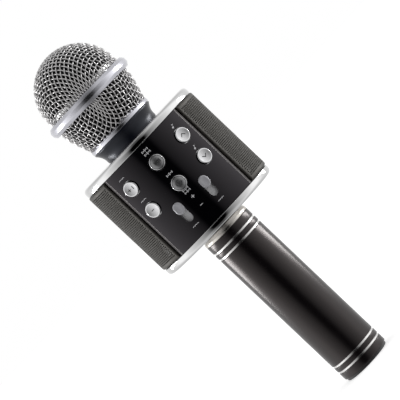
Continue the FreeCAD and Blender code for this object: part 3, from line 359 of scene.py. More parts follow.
def rounded(corners: Sequence[Corner], closed: bool = True, steps: int = 6) -> list[SectionPoint]:
    """Return a section's points with its corners rounded.

    Args:
        corners: The corners in order.
        closed: True if the last corner leads back to the first.
        steps: The spans in each rounded corner.

    Returns:
        Points as (x, z, slot of the span that follows).
    """
    points: list[SectionPoint] = []
    count = len(corners)
    for index, corner in enumerate(corners):
        ends = not closed and index in (0, count - 1)
        here = np.array((corner.x, corner.z))
        if corner.round <= 0 or ends:
            points.append((corner.x, corner.z, corner.slot))
            continue
        before = corners[index - 1]
        after = corners[(index + 1) % count]
        back = np.array((before.x, before.z)) - here
        ahead = np.array((after.x, after.z)) - here
        back /= np.linalg.norm(back)
        ahead /= np.linalg.norm(ahead)
        half = math.acos(float(np.clip(back @ ahead, -1, 1))) / 2
        reach = corner.round / math.tan(half)
        middle = here + (back + ahead) / np.linalg.norm(back + ahead) * corner.round / math.sin(half)
        start = here + back * reach - middle
        finish = here + ahead * reach - middle
        first = math.atan2(start[1], start[0])
        sweep = math.atan2(finish[1], finish[0]) - first
        sweep = (sweep + math.pi) % (2 * math.pi) - math.pi
        for step in range(steps + 1):
            angle = first + sweep * step / steps
            spot = middle + corner.round * np.array((math.cos(angle), math.sin(angle)))
            points.append((float(spot[0]), float(spot[1]), corner.slot if step == steps else before.slot))
    return points


def arc_points(centre: Point, radius: float, start: float, end: float, steps: int,
               slot: int = 0) -> list[Corner]:
    """Return plain corners along an arc.

    Args:
        centre: The arc's centre.
        radius: Its radius.
        start: The angle of its first corner, in degrees.
        end: The angle of its last corner.
        steps: The spans between them.
        slot: The finish of the spans.

    Returns:
        The corners.
    """
    angles = np.radians(np.linspace(start, end, steps + 1))
    return [Corner(centre[0] + radius * math.cos(a), centre[1] + radius * math.sin(a), 0.0, slot)
            for a in angles]


def strip(low: int, high: int, count: int) -> list[tuple[int, int, int, int]]:
    """Return the faces between two closed rings, given the first point number of each.

    Args:
        low: The first ring's first point.
        high: The second ring's first point.
        count: The points in a ring.

    Returns:
        The faces.
    """
    return [(low + k, low + (k + 1) % count, high + (k + 1) % count, high + k) for k in range(count)]


def skin_rings(name: str, rings: Sequence[np.ndarray], finishes: Sequence[Finish],
               slots: Sequence[int] | None = None, capped: bool = False,
               sharp: float = 32.0) -> bpy.types.Object:
    """Join closed rings of equally many points into a closed surface.

    Args:
        name: The object's name.
        rings: Arrays of points, one array a ring.
        finishes: The finishes used.
        slots: The slot of the strip that follows each ring.
        capped: True to close the two ends, and False to join the last ring to the first.
        sharp: The crisp-edge angle in degrees.

    Returns:
        The object.
    """
    count = len(rings[0])
    starts = [k * count for k in range(len(rings))]
    joined = zip(starts, starts[1:] if capped else starts[1:] + starts[:1])
    faces = [face for low, high in joined for face in strip(low, high, count)]
    if capped:
        faces += [tuple(range(count - 1, -1, -1)), tuple(range(starts[-1], starts[-1] + count))]
    chosen = [slot for slot in slots for _ in range(count)] if slots else [0] * len(faces)
    return outward(put_mesh(name, np.concatenate(rings), faces, finishes, chosen, sharp))


def at_height(points: np.ndarray, height: float) -> np.ndarray:
    """Return plane points as a ring at a height."""
    return np.column_stack((points, np.full(len(points), height)))


def lathe(name: str, section: Sequence[SectionPoint], finishes: Sequence[Finish],
          steps: int = 128, sharp: float = 32.0) -> bpy.types.Object:
    """Turn a closed section about the Z axis.

    Args:
        name: The object's name.
        section: Points as (radius, height, slot).
        finishes: The finishes used.
        steps: The spans round the axis.
        sharp: The crisp-edge angle in degrees.

    Returns:
        The object.
    """
    angles = np.linspace(0, 2 * math.pi, steps, endpoint=False)
    circle = np.column_stack((np.cos(angles), np.sin(angles)))
    rings = [at_height(max(radius, 1e-4) * circle, height) for radius, height, _ in section]
    made = skin_rings(name, rings, finishes, [slot for *_, slot in section], sharp=sharp)
    with opened(made) as shape:
        bmesh.ops.remove_doubles(shape, verts=shape.verts, dist=4e-7)
    made.data.set_sharp_from_angle(angle=math.radians(sharp))
    return made


def carry(piece: bpy.types.Object, body: str, slot: str, *nodes: str) -> bpy.types.Object:
    """Make a piece ride on a body and stand for its CAD nodes.

    Args:
        piece: The finished piece.
        body: The body that it moves with.
        slot: A material slot's name; it is not used.
        nodes: The CAD nodes that it stands for.

    Returns:
        The same piece.
    """
    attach(piece, body)
    if nodes:
        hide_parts(*nodes)
    LOG.info("%s: %d faces, rides on %s", piece.name, len(piece.data.polygons), body)
    return piece


def mm_box(node: str) -> tuple[np.ndarray, np.ndarray]:
    """Return a CAD node's lowest and highest corners in millimetres."""
    low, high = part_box(node)
    return np.array(low) / MM, np.array(high) / MM


def middle_of(node: str) -> np.ndarray:
    """Return the middle of a CAD node's box in millimetres."""
    low, high = mm_box(node)
    return (low + high) / 2


# --- Grille -----------------------------------------------------------------------------------

@dataclass
class WovenCup:
    """A cup of plain-woven wire, pressed from a flat square cloth that starts at the cup's pole."""

    profile: Callable[[float], Point]
    slope: Callable[[float], Point]
    reach: float
    pitch: float = 2.75
    wire: float = 0.33
    crimp: float = 0.30
    lean: float = 45.0
    spans: int = 6
    sides: int = 6

    def spot(self, along: float, turn: float) -> np.ndarray:
        """Return the point at a distance from the pole and an angle round the axis."""
        radius, height = self.profile(along)
        return np.array((radius * math.cos(turn), radius * math.sin(turn), height))

    def solve(self, left: np.ndarray, right: np.ndarray, guess: np.ndarray) -> np.ndarray | None:
        """Find the cloth's next crossing, one pitch from its two neighbours.

        Args:
            left: One neighbour's point.
            right: The other neighbour's point.
            guess: A start, as (distance from the pole, angle).

        Returns:
            The crossing as (distance, angle), or None where the cloth can't reach.
        """
        place = guess.copy()
        for _ in range(40):
            point = self.spot(*place)
            error = np.array((np.linalg.norm(point - left), np.linalg.norm(point - right))) - self.pitch
            if np.abs(error).max() < 1e-6:
                return place
            jacobian = np.zeros((2, 2))
            for axis, step in enumerate((1e-4, 1e-5)):
                moved = place.copy()
                moved[axis] += step
                other = self.spot(*moved)
                jacobian[:, axis] = (np.array((np.linalg.norm(other - left),
                                               np.linalg.norm(other - right)))
                                     - self.pitch - error) / step
            if abs(np.linalg.det(jacobian)) < 1e-9:
                return None
            change = np.linalg.solve(jacobian, error)
            largest = max(abs(change[0]) / self.pitch, abs(change[1]) * max(place[0], 1) / self.pitch, 1)
            place -= change / largest
        return None

    def crossings(self) -> dict[tuple[int, int], np.ndarray]:
        """Return the crossings of one quarter of the cloth as (distance, angle)."""
        count = int(self.reach / self.pitch) + 2
        net = {(0, 0): np.array((1e-3, math.pi / 4))}
        for step in range(1, count + 1):
            net[(step, 0)] = np.array((step * self.pitch, 0.0))
            net[(0, step)] = np.array((step * self.pitch, math.pi / 2))
        for ring in range(2, 2 * count + 1):
            for across in range(1, ring):
                key = (across, ring - across)
                near = [(key[0] - 1, key[1]), (key[0], key[1] - 1), (key[0] - 1, key[1] - 1)]
                if any(other not in net for other in near):
                    continue
                a, b, c = (self.spot(*net[other]) for other in near)
                aim = a + b - c
                turn = math.atan2(aim[1], aim[0])
                along = net[near[2]][0] + (net[near[0]][0] + net[near[1]][0] - 2 * net[near[2]][0])
                found = self.solve(a, b, np.array((along, turn)))
                if found is None or not 0 < found[1] < math.pi / 2:
                    continue
                if found[0] <= net[near[2]][0] or found[0] > self.reach + 2.5 * self.pitch:
                    continue
                net[key] = found
        return net

    def strands(self) -> list[list[tuple[np.ndarray, np.ndarray]]]:
        """Return every wire as points with surface normals, crimped over and under."""
        quarter = self.crossings()
        net: dict[tuple[int, int], tuple[np.ndarray, np.ndarray]] = {}
        for (i, j), (along, turn) in quarter.items():
            outward_part = self.slope(along)
            for sign_x, sign_y in ((1, 1), (-1, 1), (1, -1), (-1, -1)):
                flip = np.array((sign_x, sign_y, 1.0))
                normal = np.array((outward_part[0] * math.cos(turn), outward_part[0] * math.sin(turn),
                                   outward_part[1]))
                net[(i * sign_x, j * sign_y)] = (self.spot(along, turn) * flip, normal * flip)
        lines = []
        span = max(max(abs(i), abs(j)) for i, j in net)
        for family in (0, 1):
            for fixed in range(-span, span + 1):
                run: list[tuple[np.ndarray, np.ndarray]] = []
                for free in range(-span - 1, span + 2):
                    key = (free, fixed) if family == 0 else (fixed, free)
                    if key in net:
                        over = 1 if (free + fixed + family) % 2 else -1
                        point, normal = net[key]
                        run.append((point + normal * self.crimp * over, normal))
                        continue
                    if len(run) > 1:
                        lines.append(run)
                    run = []
        return lines

    def tube(self, run: list[tuple[np.ndarray, np.ndarray]],
             keep: Callable[[np.ndarray], bool]) -> tuple[list[np.ndarray], list[tuple[int, ...]]]:
        """Return one wire's tube.

        Args:
            run: The wire's crossings with their normals.
            keep: Says which points of the wire are kept.

        Returns:
            The tube's points and faces.
        """
        points = np.array([point for point, _ in run])
        normals = np.array([normal for _, normal in run])
        padded_points = np.vstack((2 * points[0] - points[1], points, 2 * points[-1] - points[-2]))
        line, frame_normals = [], []
        for index in range(len(points) - 1):
            p0, p1, p2, p3 = padded_points[index:index + 4]
            for step in range(self.spans):
                t = step / self.spans
                line.append(0.5 * (2 * p1 + (p2 - p0) * t + (2 * p0 - 5 * p1 + 4 * p2 - p3) * t * t
                                   + (3 * p1 - p0 - 3 * p2 + p3) * t ** 3))
                frame_normals.append(normals[index] * (1 - t) + normals[index + 1] * t)
        line.append(points[-1])
        frame_normals.append(normals[-1])
        line_array, normal_array = np.array(line), np.array(frame_normals)
        tangent = np.gradient(line_array, axis=0)
        tangent /= np.linalg.norm(tangent, axis=1)[:, None]
        normal_array -= tangent * (normal_array * tangent).sum(1)[:, None]
        normal_array /= np.linalg.norm(normal_array, axis=1)[:, None]
        side = np.cross(tangent, normal_array)
        vertices: list[np.ndarray] = []
        faces: list[tuple[int, ...]] = []
        previous = False
        angles = 2 * math.pi * (np.arange(self.sides) + 0.5) / self.sides
        for centre, up, across in zip(line_array, normal_array, side):
            if not keep(centre):
                if previous:
                    faces.append(tuple(range(len(vertices) - 1, len(vertices) - self.sides - 1, -1)))
                previous = False
                continue
            base = len(vertices)
            vertices += [centre + self.wire * (up * math.cos(a) + across * math.sin(a)) for a in angles]
            if previous:
                faces += [(base - self.sides + k, base - self.sides + (k + 1) % self.sides,
                           base + (k + 1) % self.sides, base + k) for k in range(self.sides)]
            else:
                faces.append(tuple(range(base, base + self.sides)))
            previous = True
        if previous:
            faces.append(tuple(range(len(vertices) - 1, len(vertices) - self.sides - 1, -1)))
        return vertices, faces

    def build(self, name: str, keep: Callable[[np.ndarray], bool], finish: Finish) -> bpy.types.Object:
        """Weave the cup.

        Args:
            name: The object's name.
            keep: Says which points of a wire are kept.
            finish: The wire's finish.

        Returns:
            The object with every wire.
        """
        vertices: list[np.ndarray] = []
        faces: list[tuple[int, ...]] = []
        for run in self.strands():
            new_vertices, new_faces = self.tube(run, keep)
            faces += [tuple(index + len(vertices) for index in face) for face in new_faces]
            vertices += new_vertices
        cosine, sine = math.cos(math.radians(self.lean)), math.sin(math.radians(self.lean))
        turn = np.array(((cosine, sine, 0), (-sine, cosine, 0), (0, 0, 1)))
        return outward(put_mesh(name, np.array(vertices) @ turn, faces, [finish], sharp=60))


@dataclass
class Grille:
    """The head: dome, band, basket, ring and lining."""

    body: str = "head"
    basket_radius: float = 22.0
    basket_slope: float = 18.3
    wire: float = 0.33
    lining_gap: float = 2.0
    lining_thickness: float = 3.0
    band_edge: float = 29.0
    band_flat: float = 2.5
    radius: float = field(init=False)
    dome_centre: float = field(init=False)
    band_low: float = field(init=False)
    band_high: float = field(init=False)
    band_radius: float = field(init=False)
    basket_low: float = field(init=False)

    def __post_init__(self) -> None:
        """Read the head's main sizes from the frame."""
        dome_low, dome_high = mm_box("grille_dome")
        self.radius = (dome_high[0] - dome_low[0]) / 2
        self.dome_centre = dome_high[2] - self.radius
        band_low, band_high = mm_box("grille_band")
        self.band_low, self.band_high = band_low[2], band_high[2]
        self.band_radius = band_high[0]
        self.basket_low = mm_box("grille_basket")[0][2]

    @property
    def woven_radius(self) -> float:
        """The radius of the dome's cloth at the middle of its thickness."""
        return self.radius - 2 * self.wire

    def dome_profile(self, along: float) -> Point:
        """Return a point on the dome's cloth.

        Args:
            along: The distance from the pole.

        Returns:
            The point's radius and height.
        """
        radius = self.woven_radius
        if along < radius * math.pi / 2:
            angle = along / radius
            return radius * math.sin(angle), self.dome_centre + radius * math.cos(angle)
        return radius, self.dome_centre - (along - radius * math.pi / 2)

    def dome_slope(self, along: float) -> Point:
        """Return the dome's outward direction as its radial and upward parts."""
        angle = min(along / self.woven_radius, math.pi / 2)
        return math.sin(angle), math.cos(angle)

    def basket_arc(self) -> tuple[float, float]:
        """Return the radius of the basket's upper curve and the length of its straight cone."""
        slope = math.radians(self.basket_slope)
        rise = self.band_low - self.basket_low
        gap = self.radius - self.basket_radius
        arc = (rise * math.tan(slope) - gap) * math.cos(slope) / (1 - math.cos(slope))
        return arc, (rise - arc * math.sin(slope)) / math.cos(slope)

    def basket_place(self, along: float) -> tuple[Point, Point]:
        """Return a point of the basket's cloth and its outward direction.

        Args:
            along: The distance from the pole of the basket's lost floor.

        Returns:
            (radius, height) and the outward direction's radial and upward parts.
        """
        inset = 2 * self.wire
        arc, cone = self.basket_arc()
        slope = math.radians(self.basket_slope)
        foot = self.basket_radius - inset
        below = along - foot
        if below < 0:
            share = max(along, 0) / foot
            lean = share ** 6
            return (along, self.basket_low), (lean * math.cos(slope), lean * -math.sin(slope) - (1 - lean))
        if below < cone:
            radius = foot + below * math.sin(slope)
            height = self.basket_low + below * math.cos(slope)
            return (radius, height), (math.cos(slope), -math.sin(slope))
        bend = (below - cone) / arc
        if bend < slope:
            angle = slope - bend
            knee = (self.radius - inset - arc, self.band_low)
            return ((knee[0] + arc * math.cos(angle), knee[1] - arc * math.sin(angle)),
                    (math.cos(angle), -math.sin(angle)))
        return (self.radius - inset, self.band_low + below - cone - arc * slope), (1.0, 0.0)

    def build(self) -> None:
        """Build every piece of the head."""
        middle = (self.band_low + self.band_high) / 2
        quarter = self.woven_radius * math.pi / 2 + self.dome_centre - middle
        dome = WovenCup(self.dome_profile, self.dome_slope, quarter, wire=self.wire)
        piece = dome.build("dome_weave", lambda point: point[2] > middle + 0.2, WIRE_NICKEL)
        carry(piece, self.body, "grille_wire", "grille_dome")
        basket = WovenCup(lambda along: self.basket_place(along)[0],
                          lambda along: self.basket_place(along)[1],
                          self.basket_radius + middle - self.basket_low + 2, wire=self.wire)
        low = self.basket_low + 0.15
        piece = basket.build("basket_weave", lambda point: low < point[2] < middle - 0.2, WIRE_NICKEL)
        carry(piece, self.body, "grille_wire", "grille_basket")
        self.build_band(middle)
        self.build_ring()
        self.build_lining()

    def build_band(self, middle: float) -> None:
        """Build the bright band, with its flat, its two bevels and eased edges.

        Args:
            middle: The height of the band's middle.
        """
        bore = self.radius + 0.02
        section = rounded([
            Corner(bore, self.band_low, 0.2),
            Corner(self.band_edge, self.band_low, 0.35),
            Corner(self.band_radius, middle - self.band_flat / 2, 0.9),
            Corner(self.band_radius, middle + self.band_flat / 2, 0.9),
            Corner(self.band_edge, self.band_high, 0.35),
            Corner(bore, self.band_high, 0.2),
        ])
        carry(lathe("band_ring", section, [BAND_CHROME], 160), self.body, "band_chrome", "grille_band")

    def build_ring(self) -> None:
        """Build the ring at the foot of the basket."""
        low, high = mm_box("grille_base_ring")
        outer = high[0]
        bore = 19.1
        top = self.basket_low
        section = rounded([
            Corner(bore, low[2], 0.1),
            Corner(outer, low[2], 0.35),
            Corner(outer, top, 0.5),
            Corner(self.basket_radius - 1.7, top, 0.0),
            Corner(self.basket_radius - 1.7, high[2], 0.1),
            Corner(bore, high[2], 0.1),
        ])
        carry(lathe("foot_ring", section, [BAND_CHROME], 144), self.body, "band_chrome",
              "grille_base_ring")

    def build_lining(self) -> None:
        """Build the foam lining: a soft closed sock behind the wires, slightly uneven."""
        outer = self.radius - self.lining_gap
        thick = self.lining_thickness
        low = self.basket_low + 0.5
        arc, _ = self.basket_arc()
        slope = self.basket_slope
        centre = (outer - arc, self.band_low)
        start = -math.degrees(math.asin(min((self.band_low - low) / arc, math.sin(math.radians(slope)))))
        foot_drop = arc * math.sin(math.radians(-start))
        foot_in = (self.band_low - low - foot_drop) * math.tan(math.radians(slope))
        knee = centre[0] + arc * math.cos(math.radians(start))
        corners = [Corner(knee - foot_in, low, 0.6)]
        corners += arc_points(centre, arc, start, 0, 8)
        corners += arc_points((0, self.dome_centre), outer, 0, 89.5, 24)
        corners += arc_points((0, self.dome_centre), outer - thick, 89.5, 0, 24)
        corners += arc_points((centre[0] - thick, centre[1]), arc, 0, start, 8)
        corners += [Corner(knee - foot_in - thick, low, 0.6)]
        piece = lathe("foam_sock", rounded(corners), [FOAM], 96, sharp=80)
        with opened(piece) as shape:
            for vertex in shape.verts:
                x, y, z = vertex.co
                turn = math.atan2(y, x)
                swell = 0.18 * math.sin(5 * turn + 90 * z) + 0.1 * math.sin(11 * turn - 400 * z)
                vertex.co += vertex.normal * swell * MM
        carry(piece, self.body, "lining_foam", "foam_lining")


# --- Speaker box ------------------------------------------------------------------------------

@dataclass
class OvalPlan:
    """The plan of the speaker box: four tangent arcs, drawn from its half sizes."""

    half_width: float
    half_depth: float
    side_radius: float = 26.0

    @property
    def side_centre(self) -> float:
        """How far a side arc's centre is from the middle."""
        return self.half_width - self.side_radius

    @property
    def front_radius(self) -> float:
        """The radius of the front and rear arcs."""
        extra = self.side_centre ** 2 + self.half_depth ** 2 - self.side_radius ** 2
        return extra / (2 * (self.half_depth - self.side_radius))

    @property
    def front_centre(self) -> float:
        """How far the front arc's centre is behind the middle."""
        return self.front_radius - self.half_depth

    @property
    def corner(self) -> float:
        """The direction, from +X, in which a side arc meets the next arc."""
        return math.atan2(self.front_centre, self.side_centre)

    def point(self, direction: float, inset: float) -> np.ndarray:
        """Return the point of the outline whose outward direction is given.

        Args:
            direction: The outward direction as an angle from +X.
            inset: How far the outline is moved in.

        Returns:
            The point (x, y).
        """
        wrapped = (direction + math.pi) % (2 * math.pi) - math.pi
        heading = np.array((math.cos(wrapped), math.sin(wrapped)))
        if abs(wrapped) <= self.corner:
            return np.array((self.side_centre, 0)) + heading * (self.side_radius - inset)
        if abs(wrapped) >= math.pi - self.corner:
            return np.array((-self.side_centre, 0)) + heading * (self.side_radius - inset)
        sign = -1 if wrapped > 0 else 1
        return np.array((0, sign * self.front_centre)) + heading * (self.front_radius - inset)

    def directions(self, start: float, end: float, spacing: float) -> np.ndarray:
        """Return directions whose points are evenly spaced along the outline.

        Args:
            start: The first direction as an angle from +X.
            end: The last direction.
            spacing: About how far apart the points are.

        Returns:
            The directions.
        """
        fine = np.linspace(start, end, 2000)
        spots = np.array([self.point(angle, 0) for angle in fine])
        lengths = np.concatenate(([0], np.cumsum(np.linalg.norm(np.diff(spots, axis=0), axis=1))))
        count = max(int(round(lengths[-1] / spacing)), 1)
        return np.interp(np.linspace(0, lengths[-1], count + 1), lengths, fine)


@dataclass
class SpeakerBox:
    """The oval box: two plates, two panels and two perforated covers."""

    body: str = "case"
    panel_inset: float = 0.8
    panel_wall: float = 1.8
    panel_half: float = 28.8
    panel_bevel: float = 0.35
    panel_line: float = 1.0
    panel_gap: float = 0.3
    cover_proud: float = 0.49
    cover_sheet: float = 0.5
    cover_start: float = 30.4
    cover_round: float = 1.2
    cover_fold: float = 2.4
    cover_bend: float = 0.35
    hole_pitch: float = 1.3
    hole_radius: float = 0.47
    plate_round: float = 2.6
    plate_edge: float = 0.4
    round_face: float = 0.985
    button_hole: float = 5.0
    slot_half: float = 2.5
    slot_length: float = 14.0
    slider_half_travel: float = 3.2
    tool_depth: float = 5.0
    tool_flare: float = 2.2

    def __post_init__(self) -> None:
        """Read the box's plan and heights from the frame."""
        low, high = mm_box("top_plate")
        self.plan = OvalPlan(42.0, float(high[1]))
        self.box_high, self.top = float(low[2]), float(high[2])
        low, high = mm_box("bottom_plate")
        self.bottom, self.box_low = float(low[2]), float(high[2])
        self.neck_radius = 19.0
        self.ferrule_radius = 13.9

    def build_plate(self, name: str, node: str, far: float, near: float, bore: float) -> None:
        """Build an end plate with a well rounded far edge.

        Args:
            name: The piece's name.
            node: The CAD node.
            far: The height of its outer face.
            near: The height of its face against the box.
            bore: The radius of the hole that the neck or the ferrule covers.
        """
        directions = self.plan.directions(-math.pi, math.pi, 0.9)[:-1]
        section = rounded([Corner(12.0, far), Corner(0.0, far, self.plate_round),
                           Corner(0.0, near, self.plate_edge), Corner(12.0, near)], closed=False, steps=9)
        rings = [at_height(np.array([self.plan.point(angle, inset) for angle in directions]), height)
                 for inset, height, _ in section]
        angles = np.arctan2(rings[0][:, 1], rings[0][:, 0])
        circle = np.column_stack((bore * np.cos(angles), bore * np.sin(angles)))
        rings += [at_height(circle, near), at_height(circle, far)]
        carry(skin_rings(name, rings, [PLATE_CHROME]), self.body, "plate_chrome", node)

    def cover_path(self) -> tuple[float, float]:
        """Return the directions between which the right cover's flat skin runs."""
        reach = self.plan.front_radius + self.cover_proud
        turn = math.asin((self.cover_start + self.cover_bend) / reach)
        return -math.pi / 2 + turn, math.pi / 2 - turn

    def build_cover(self, side: int) -> None:
        """Build one perforated cover: a thin sheet with staggered holes and folded edges.

        Args:
            side: 1 for the right cover and -1 for the left one.
        """
        label = "right" if side > 0 else "left"
        start, end = self.cover_path()
        fold = self.cover_bend
        across = self.plan.directions(start, end, self.hole_pitch / 2)
        if len(across) % 2 == 0:
            across = np.interp(np.linspace(0, 1, len(across) + 1), np.linspace(0, 1, len(across)), across)
        low = self.box_low + self.panel_gap + self.cover_round
        high = self.box_high - self.panel_gap - self.cover_round
        row_height = self.hole_pitch * 0.866
        rows = int((high - low) / row_height)
        columns = len(across) - 1

        def bend(excess: float, radius: float) -> tuple[float, float]:
            """Follow a folded edge.

            Args:
                excess: The distance along the sheet from where the fold starts.
                radius: The fold's radius.

            Returns:
                How far it goes sideways and how far inwards.
            """
            quarter = radius * math.pi / 2
            if excess < quarter:
                return radius * math.sin(excess / radius), radius * (1 - math.cos(excess / radius))
            return radius, radius + excess - quarter

        def spread(radius: float, steps: int) -> list[float]:
            """Return how far round the fold each extra row is, out to the fold's end."""
            quarter = radius * math.pi / 2
            return [quarter * (step + 1) / steps for step in range(steps)] + [
                quarter + self.cover_fold - radius]

        up_rows = spread(self.cover_round, 5)
        side_rows = spread(fold, 3)
        grid_u = [-e for e in reversed(side_rows)] + list(range(columns + 1))
        grid_u += [columns + e for e in side_rows]
        grid_w = [-e for e in reversed(up_rows)] + list(range(rows + 1)) + [rows + e for e in up_rows]

        def place(u: float, w: float) -> tuple[float, float, float]:
            """Return a point of the sheet, folded at the edges.

            Args:
                u: The column.
                w: The row.

            Returns:
                The point in millimetres.
            """
            over_u = max(-u, u - columns, 0.0)
            over_w = max(-w, w - rows, 0.0)
            shift_u, deep_u = bend(over_u, fold) if over_u else (0.0, 0.0)
            shift_w, deep_w = bend(over_w, self.cover_round) if over_w else (0.0, 0.0)
            column = min(max(u, 0), columns)
            base = int(min(column, columns - 1))
            angle = across[base] + (across[base + 1] - across[base]) * (column - base)
            row = min(max(w, 0), rows)
            height = low + (high - low) * row / rows
            spot = self.plan.point(angle, -self.cover_proud + max(deep_u, deep_w))
            along = np.array((-math.sin(angle), math.cos(angle)))
            spot = spot + along * shift_u * (1 if u > columns else -1)
            height += shift_w * (1 if w > rows else -1)
            return side * float(spot[0]), float(spot[1]), float(height)

        numbers: dict[tuple[float, float], int] = {}
        vertices: list[tuple[float, float, float]] = []

        def index(u: float, w: float) -> int:
            """Return the number of a point of the sheet, and add the point the first time.

            Args:
                u: The column.
                w: The row.

            Returns:
                The point's number.
            """
            key = (round(u, 5), round(w, 5))
            if key not in numbers:
                numbers[key] = len(vertices)
                vertices.append(place(u, w))
            return numbers[key]

        def quad(a: float, b: float, c: float, d: float) -> tuple[int, ...]:
            """Return the face from column a to b and from row c to d."""
            return index(a, c), index(b, c), index(b, d), index(a, d)

        faces: list[tuple[int, ...]] = []
        for a, b in zip(grid_u[:-1], grid_u[1:]):
            for c, d in zip(grid_w[:-1], grid_w[1:]):
                outside_u = a < 0 or b > columns
                outside_w = c < 0 or d > rows
                beyond_fold = max(-a, b - columns) > fold * 1.6
                if outside_u and outside_w and beyond_fold and max(-c, d - rows) > self.cover_round * 1.6:
                    continue
                if outside_u or outside_w or c < 1 or d > rows - 1:
                    faces.append(quad(a, b, c, d))
        hole_u = self.hole_radius / (self.hole_pitch / 2)
        hole_w = self.hole_radius / row_height
        for row in range(1, rows - 1):
            column = 1 if row % 2 else 2
            faces += [quad(edge, edge + 1, row, row + 1) for edge in range(column)]
            while column + 2 <= columns - 1:
                outline = [(column, row), (column + 1, row), (column + 2, row),
                           (column + 2, row + 1), (column + 1, row + 1), (column, row + 1)]
                ring = [(column + 1 + hole_u * math.cos(angle), row + 0.5 + hole_w * math.sin(angle))
                        for angle in np.radians((210, 270, 330, 30, 90, 150))]
                for k in range(6):
                    m = (k + 1) % 6
                    faces.append(tuple(index(*spot) for spot in (outline[k], outline[m], ring[m], ring[k])))
                column += 2
            faces += [quad(edge, edge + 1, row, row + 1) for edge in range(column, columns)]
        if side < 0:
            faces = [tuple(reversed(face)) for face in faces]
        piece = put_mesh(f"{label}_perforated_cover", vertices, faces, [COVER_PAINT], sharp=50)
        thicken = piece.modifiers.new("sheet", "SOLIDIFY")
        thicken.thickness = self.cover_sheet * MM
        thicken.offset = -1.0
        carry(piece, self.body, "cover_metal", f"{label}_speaker_cover")

    def build(self) -> None:
        """Build the plates, the panels and the covers."""
        self.build_plate("upper_plate", "top_plate", self.top, self.box_high, self.neck_radius)
        self.build_plate("lower_plate", "bottom_plate", self.bottom, self.box_low, self.ferrule_radius)
        for side in (1, -1):
            self.build_cover(side)
        self.build_front_panel()
        self.build_rear_panel()

    def panel_blank(self, name: str, front: bool) -> bpy.types.Object:
        """Build a panel's closed shell, before its openings are cut.

        Args:
            name: The piece's name.
            front: True for the front panel and False for the rear one.

        Returns:
            The panel.
        """
        radius = self.plan.front_radius - self.panel_inset
        turn = math.asin((self.panel_half - self.panel_line) / radius)
        turns = np.linspace(-turn, turn, 97)
        edge_turn = math.asin(self.panel_half / (radius - self.panel_bevel))
        inner_turn = math.asin(self.panel_half / (radius - self.panel_wall))
        outline = [(radius, t) for t in turns]
        outline += [(radius - self.panel_bevel, edge_turn)]
        outline += [(radius - self.panel_wall, t) for t in np.linspace(inner_turn, -inner_turn, 97)]
        outline += [(radius - self.panel_bevel, -edge_turn)]
        centre = self.plan.front_centre
        flat = np.array([(r * math.sin(t), centre - r * math.cos(t)) for r, t in outline])
        if not front:
            flat = -flat
        low, high = self.box_low + self.panel_gap, self.box_high - self.panel_gap
        rings = [at_height(flat, low), at_height(flat, high)]
        panel = skin_rings(name, rings, [PANEL_GLOSS, PANEL_EDGE_HIGHLIGHT], capped=True)
        # The two bevel faces take the pale grey finish: a painted highlight along the panel's edges.
        for edge in (len(turns) - 1, len(flat) - 1):
            panel.data.polygons[edge].material_index = 1
        return panel

    def settle_normals(self, piece: bpy.types.Object, front: bool) -> None:
        """Give a cut panel the true normals of its round face.

        Args:
            piece: The panel.
            front: True for the front panel.
        """
        centre = Vector((0, self.plan.front_centre * MM * (1 if front else -1), 0))
        mesh = piece.data
        normals: list[Vector] = []
        for polygon in mesh.polygons:
            for vertex in polygon.vertices:
                ray = mesh.vertices[vertex].co - centre
                ray.z = 0
                ray.normalize()
                near = polygon.normal.dot(ray)
                round_face = abs(near) > self.round_face
                normals.append(math.copysign(1, near) * ray if round_face else polygon.normal.copy())
        mesh.normals_split_custom_set(normals)

    def cut(self, piece: bpy.types.Object, tools: list[bpy.types.Object]) -> None:
        """Cut tools from a piece and remove them.

        Args:
            piece: The piece that is cut.
            tools: The closed solids to take away.
        """
        for tool in tools:
            cutter = piece.modifiers.new("cut", "BOOLEAN")
            cutter.object = tool
            cutter.operation = "DIFFERENCE"
            cutter.solver = "EXACT"
        bpy.context.view_layer.update()
        result = bpy.data.meshes.new_from_object(
            piece.evaluated_get(bpy.context.evaluated_depsgraph_get()))
        old = piece.data
        piece.modifiers.clear()
        piece.data = result
        bpy.data.meshes.remove(old)
        for tool in tools:
            bpy.data.objects.remove(tool)

    def front_place(self, turn: float, height: float) -> Matrix:
        """Return the placing of something on the front face.

        Args:
            turn: The turn from the centre line in degrees, positive towards +X.
            height: The height in millimetres.

        Returns:
            A matrix whose Z axis points out of the face and whose Y axis points up.
        """
        reach = (self.plan.front_radius - self.panel_inset) * MM
        angle = math.radians(turn)
        out = Vector((math.sin(angle), -math.cos(angle), 0))
        up = Vector((0, 0, 1))
        right = up.cross(out)
        spot = Vector((0, self.plan.front_centre * MM, height * MM)) + out * reach
        turn_matrix = Matrix((right, up, out)).transposed().to_4x4()
        return Matrix.Translation(spot) @ turn_matrix

    def hole_tool(self, name: str, place: Matrix, radius: float) -> bpy.types.Object:
        """Return a round cutter with a flared mouth, standing square to the face.

        Args:
            name: The tool's name.
            place: Where it stands.
            radius: The hole's radius.

        Returns:
            The tool.
        """
        ease = 0.22
        section = [(0.0, -self.tool_depth, 0), (radius, -self.tool_depth, 0), (radius, -ease, 0),
                   (radius + ease, 0.0, 0), (radius + self.tool_flare, 2.0, 0), (0.0, 2.0, 0)]
        tool = lathe(name, section, [PANEL_GLOSS], 64)
        tool.data.transform(place)
        return tool

    def slot_tool(self, name: str, place: Matrix, half: float, length: float) -> bpy.types.Object:
        """Return a cutter for a slot with round ends and an eased mouth.

        Args:
            name: The tool's name.
            place: Where it stands.
            half: Half of the slot's width.
            length: The slot's length.

        Returns:
            The tool.
        """
        profile = ((0.0, -self.tool_depth), (0.0, -0.2), (0.2, 0.0), (self.tool_flare, 2.0))
        rings = [pill_ring(half + grow, length / 2 + grow, height, 16) for grow, height in profile]
        tool = skin_rings(name, rings, [PANEL_GLOSS], capped=True)
        tool.data.transform(place)
        return tool

